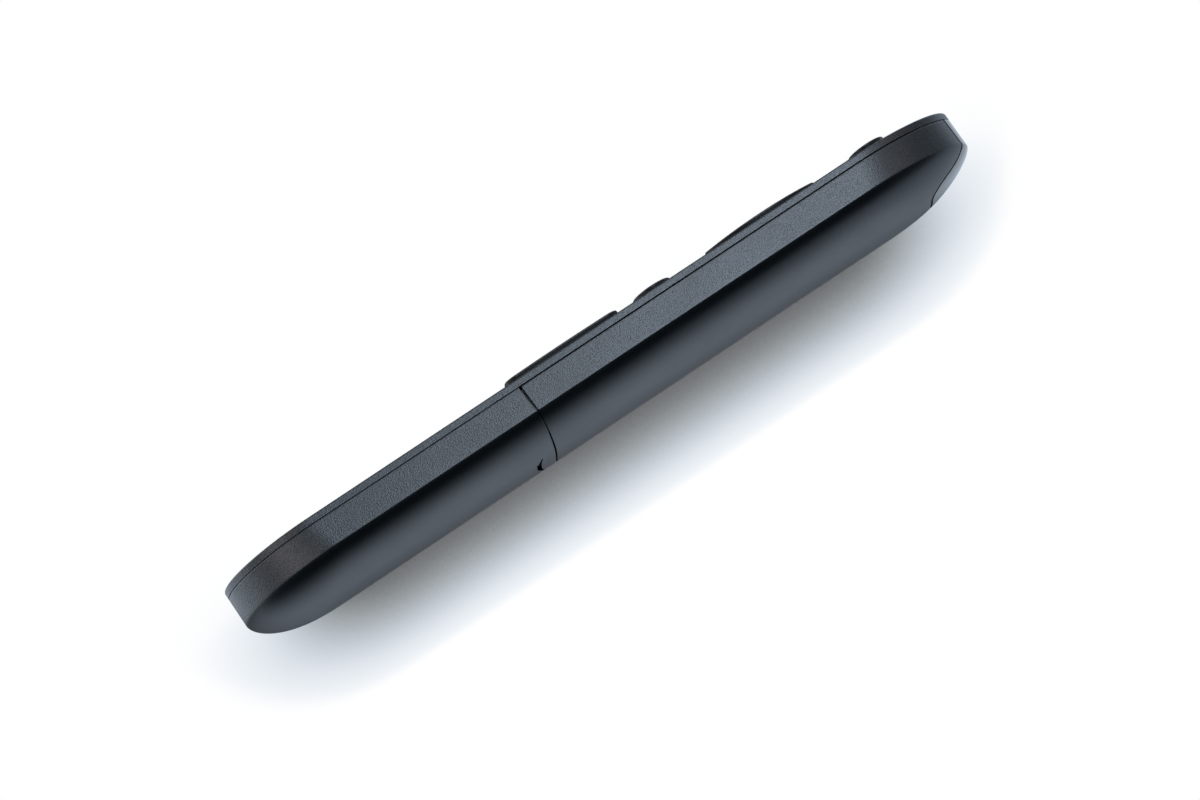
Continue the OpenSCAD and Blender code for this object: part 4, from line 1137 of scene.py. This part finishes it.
floorPlane = {"normal": (0.951, 0.0, -0.309), "reach": 1.2, "gap": 0.02}


def makeFloor():    # the table that the remote lies on, flank down
    normal = Vector(floorPlane["normal"]).normalized()
    across = Vector((0, 1, 0)) * floorPlane["reach"]
    along = normal.cross(across)
    centre = Vector((-housing["creaseHalf"] - floorPlane["gap"], 0, creaseZ)) * mm
    corners = [centre + along * a + across * b for a, b in ((-1, -1), (1, -1), (1, 1), (-1, 1))]
    mesh = bpy.data.meshes.new("floor")
    mesh.from_pydata(corners, [], [(0, 1, 2, 3)])
    floor = addObject("floor", mesh)
    if mesh.polygons[0].normal.dot(normal) < 0:
        mesh.flip_normals()
    return floor, normal


floor, floorNormal = makeFloor()


# Limits are lengths in metres; stops are pairs of place and colour
tableShade = {
    "lean": 1.7, "reach": 0.022, "outwards": (-0.309, 0, -0.951), "mirrorReach": 0.3,
    # painted pool of light on the table, by distance out from the hull, seen in reflections only
    "mirror": ((0.02, (0.16, 0.18, 0.20)), (0.08, (0.50, 0.56, 0.63)), (0.15, (0.98, 1.10, 1.25)),
               (0.20, (0.96, 1.08, 1.22)), (0.30, (0.62, 0.70, 0.80)), (0.50, (0.31, 0.36, 0.41)),
               (1.0, (0.15, 0.18, 0.20))),
    # painted glows past the nose and the tail, for the band's reflection
    "nose": (0.078, 0.096), "noseFar": (0.13, 0.18), "paintedNoseGlow": (0.70, 0.80, 0.92),
    "tailFar": (-0.17, -0.13), "tailNear": (-0.10, -0.09), "paintedTailGlow": (0.92, 1.02, 1.17),
    "paintedGlowHeight": (0.008, 0.016),
    # colours of the painted shadow, by occlusion
    "stops": ((0.30, (0.085, 0.09, 0.096)), (0.42, (0.145, 0.15, 0.156)), (0.45, (0.20, 0.208, 0.213)),
              (0.49, (0.255, 0.275, 0.283)), (0.545, (0.345, 0.372, 0.392)), (0.60, (0.44, 0.478, 0.512)),
              (0.67, (0.56, 0.605, 0.655)), (0.775, (0.73, 0.775, 0.825)), (0.90, (0.855, 0.895, 0.935)),
              (0.985, (1.0, 1.0, 1.0))),
}


def floorMaterial():    # white table with a painted soft shadow on the hull's side only, and painted pools of light that only reflections see
    shade = tableShade
    material = bpy.data.materials.new("paleTable")
    material.use_nodes = True
    tree = material.node_tree
    tree.nodes.clear()
    # painted shadow: occlusion round a normal leaning towards the key face, turned into colour by the stops
    leaning = (floorNormal + Vector((0, 0, shade["lean"]))).normalized()
    tilt = addNode(tree, "ShaderNodeCombineXYZ", dict(enumerate(leaning)))
    hollow = addNode(tree, "ShaderNodeAmbientOcclusion",
                     {"Distance": shade["reach"], "Normal": tilt.outputs[0]}, samples=32)
    shadow = colourRamp(tree, hollow.outputs["AO"], shade["stops"])
    path = addNode(tree, "ShaderNodeLightPath").outputs
    surface = addNode(tree, "ShaderNodeNewGeometry").outputs
    along = addNode(tree, "ShaderNodeVectorMath",
                    {0: surface["Position"], 1: Vector(shade["outwards"]).normalized()},
                    operation="DOT_PRODUCT")
    # painted pool of light, brighter or darker by distance out from the hull
    distance = mapRange(tree, along.outputs["Value"], (0.0, shade["mirrorReach"]))
    paintedPool = colourRamp(tree, distance, shade["mirror"])

    def past(axis, limits):    # 0 below the limits, 1 above them
        return mapRange(tree, axisOf(tree, surface["Position"], axis), shade[limits],
                        interpolation_type="SMOOTHSTEP")

    raised = past(2, "paintedGlowHeight")    # painted glows only high enough for the band's reflection, not the hull's
    paintedNoseMask = mathNode(tree, "SUBTRACT", past(1, "nose"), times(tree, raised, past(1, "noseFar")))
    paintedTailMask = times(tree, mathNode(tree, "SUBTRACT", past(1, "tailFar"), past(1, "tailNear")), raised)
    # painted glows by the nose and the tail, laid over the painted pool
    mirrored = mixColours(tree, paintedNoseMask, paintedPool, shade["paintedNoseGlow"])
    mirrored = mixColours(tree, paintedTailMask, mirrored, shade["paintedTailGlow"])
    # only reflections see the painted pool and glows; camera rays see white
    mirrored = mixColours(tree, path["Is Glossy Ray"], (1.0, 1.0, 1.0), mirrored)
    lit = addNode(tree, "ShaderNodeVectorMath", {0: shadow, 1: mirrored}, operation="MULTIPLY")
    glow = addNode(tree, "ShaderNodeEmission", {"Color": lit.outputs[0]})
    clear = addNode(tree, "ShaderNodeBsdfTransparent")
    seen = mathNode(tree, "MAXIMUM", path["Is Camera Ray"], path["Is Glossy Ray"])
    seen = mathNode(tree, "MAXIMUM", seen, path["Is Transmission Ray"])
    front = mathNode(tree, "SUBTRACT", 1.0, surface["Backfacing"])
    mix = addNode(tree, "ShaderNodeMixShader", {0: times(tree, seen, front), 1: clear.outputs[0],
                                                2: glow.outputs[0]})
    addNode(tree, "ShaderNodeOutputMaterial", {"Surface": mix.outputs[0]})
    return material


floor.data.materials.append(floorMaterial())

coolLight, warmLight = (0.94, 0.99, 1.06), (1.0, 0.84, 0.78)
lampDistance = 0.8
softboxes = {"above": ((0.76, 0.22, 0.62), (0.3, 0.35), 3.4, coolLight),
             "top": ((-0.2, 0.2, 0.96), (0.6, 0.3), 3.0, coolLight),
             "nose": ((-0.15, 0.9, 0.42), (0.4, 0.4), 0.6, coolLight),
             "tail": ((-0.4, -0.82, 0.4), (0.4, 0.4), 4.5, coolLight),
             "noseSide": ((0.48, 0.72, 0.49), (0.35, 0.35), 0.4, warmLight),
             "tailSide": ((0.54, -0.64, 0.52), (0.4, 0.35), 1.5, warmLight),
             "farSide": ((-0.95, 0.1, 0.2), (0.35, 0.7), 3.5, coolLight)}
for name, (direction, size, power, colour) in softboxes.items():
    lamp = bpy.data.lights.new(name + "Softbox", "AREA")
    lamp.shape = "RECTANGLE"
    lamp.size, lamp.size_y = size
    lamp.energy, lamp.color = power, colour
    holder = addObject(name + "Softbox", lamp)
    away = Vector(direction).normalized()
    turn = away.to_track_quat("Z", "Y").to_matrix().to_4x4()
    holder.matrix_world = Matrix.Translation(away * lampDistance) @ turn

surround = {"dark": (0.588, 0.05, -0.809), "limits": (0.42, -0.15), "low": (0.03, 0.045, 0.055),
            "high": (0.25, 0.27, 0.29)}


def makeWorld():    # even grey room, dark where the photographer stands
    world = bpy.data.worlds.new("studio")
    bpy.context.scene.world = world
    world.use_nodes = True
    tree = world.node_tree
    tree.nodes.clear()
    direction = addNode(tree, "ShaderNodeTexCoord").outputs["Generated"]
    towards = addNode(tree, "ShaderNodeVectorMath", {0: direction, 1: Vector(surround["dark"]).normalized()},
                      operation="DOT_PRODUCT")
    share = mapRange(tree, towards.outputs["Value"], surround["limits"], interpolation_type="SMOOTHSTEP")
    room = blendColours(tree, share, surround["low"], surround["high"])
    light = addNode(tree, "ShaderNodeBackground", {"Color": room})
    white = addNode(tree, "ShaderNodeBackground", {"Color": (1, 1, 1, 1)})
    camera = addNode(tree, "ShaderNodeLightPath").outputs["Is Camera Ray"]
    mix = addNode(tree, "ShaderNodeMixShader", {0: camera, 1: light.outputs[0], 2: white.outputs[0]})
    addNode(tree, "ShaderNodeOutputWorld", {"Surface": mix.outputs[0]})


makeWorld()

bpy.context.scene.view_settings.view_transform = "Standard"
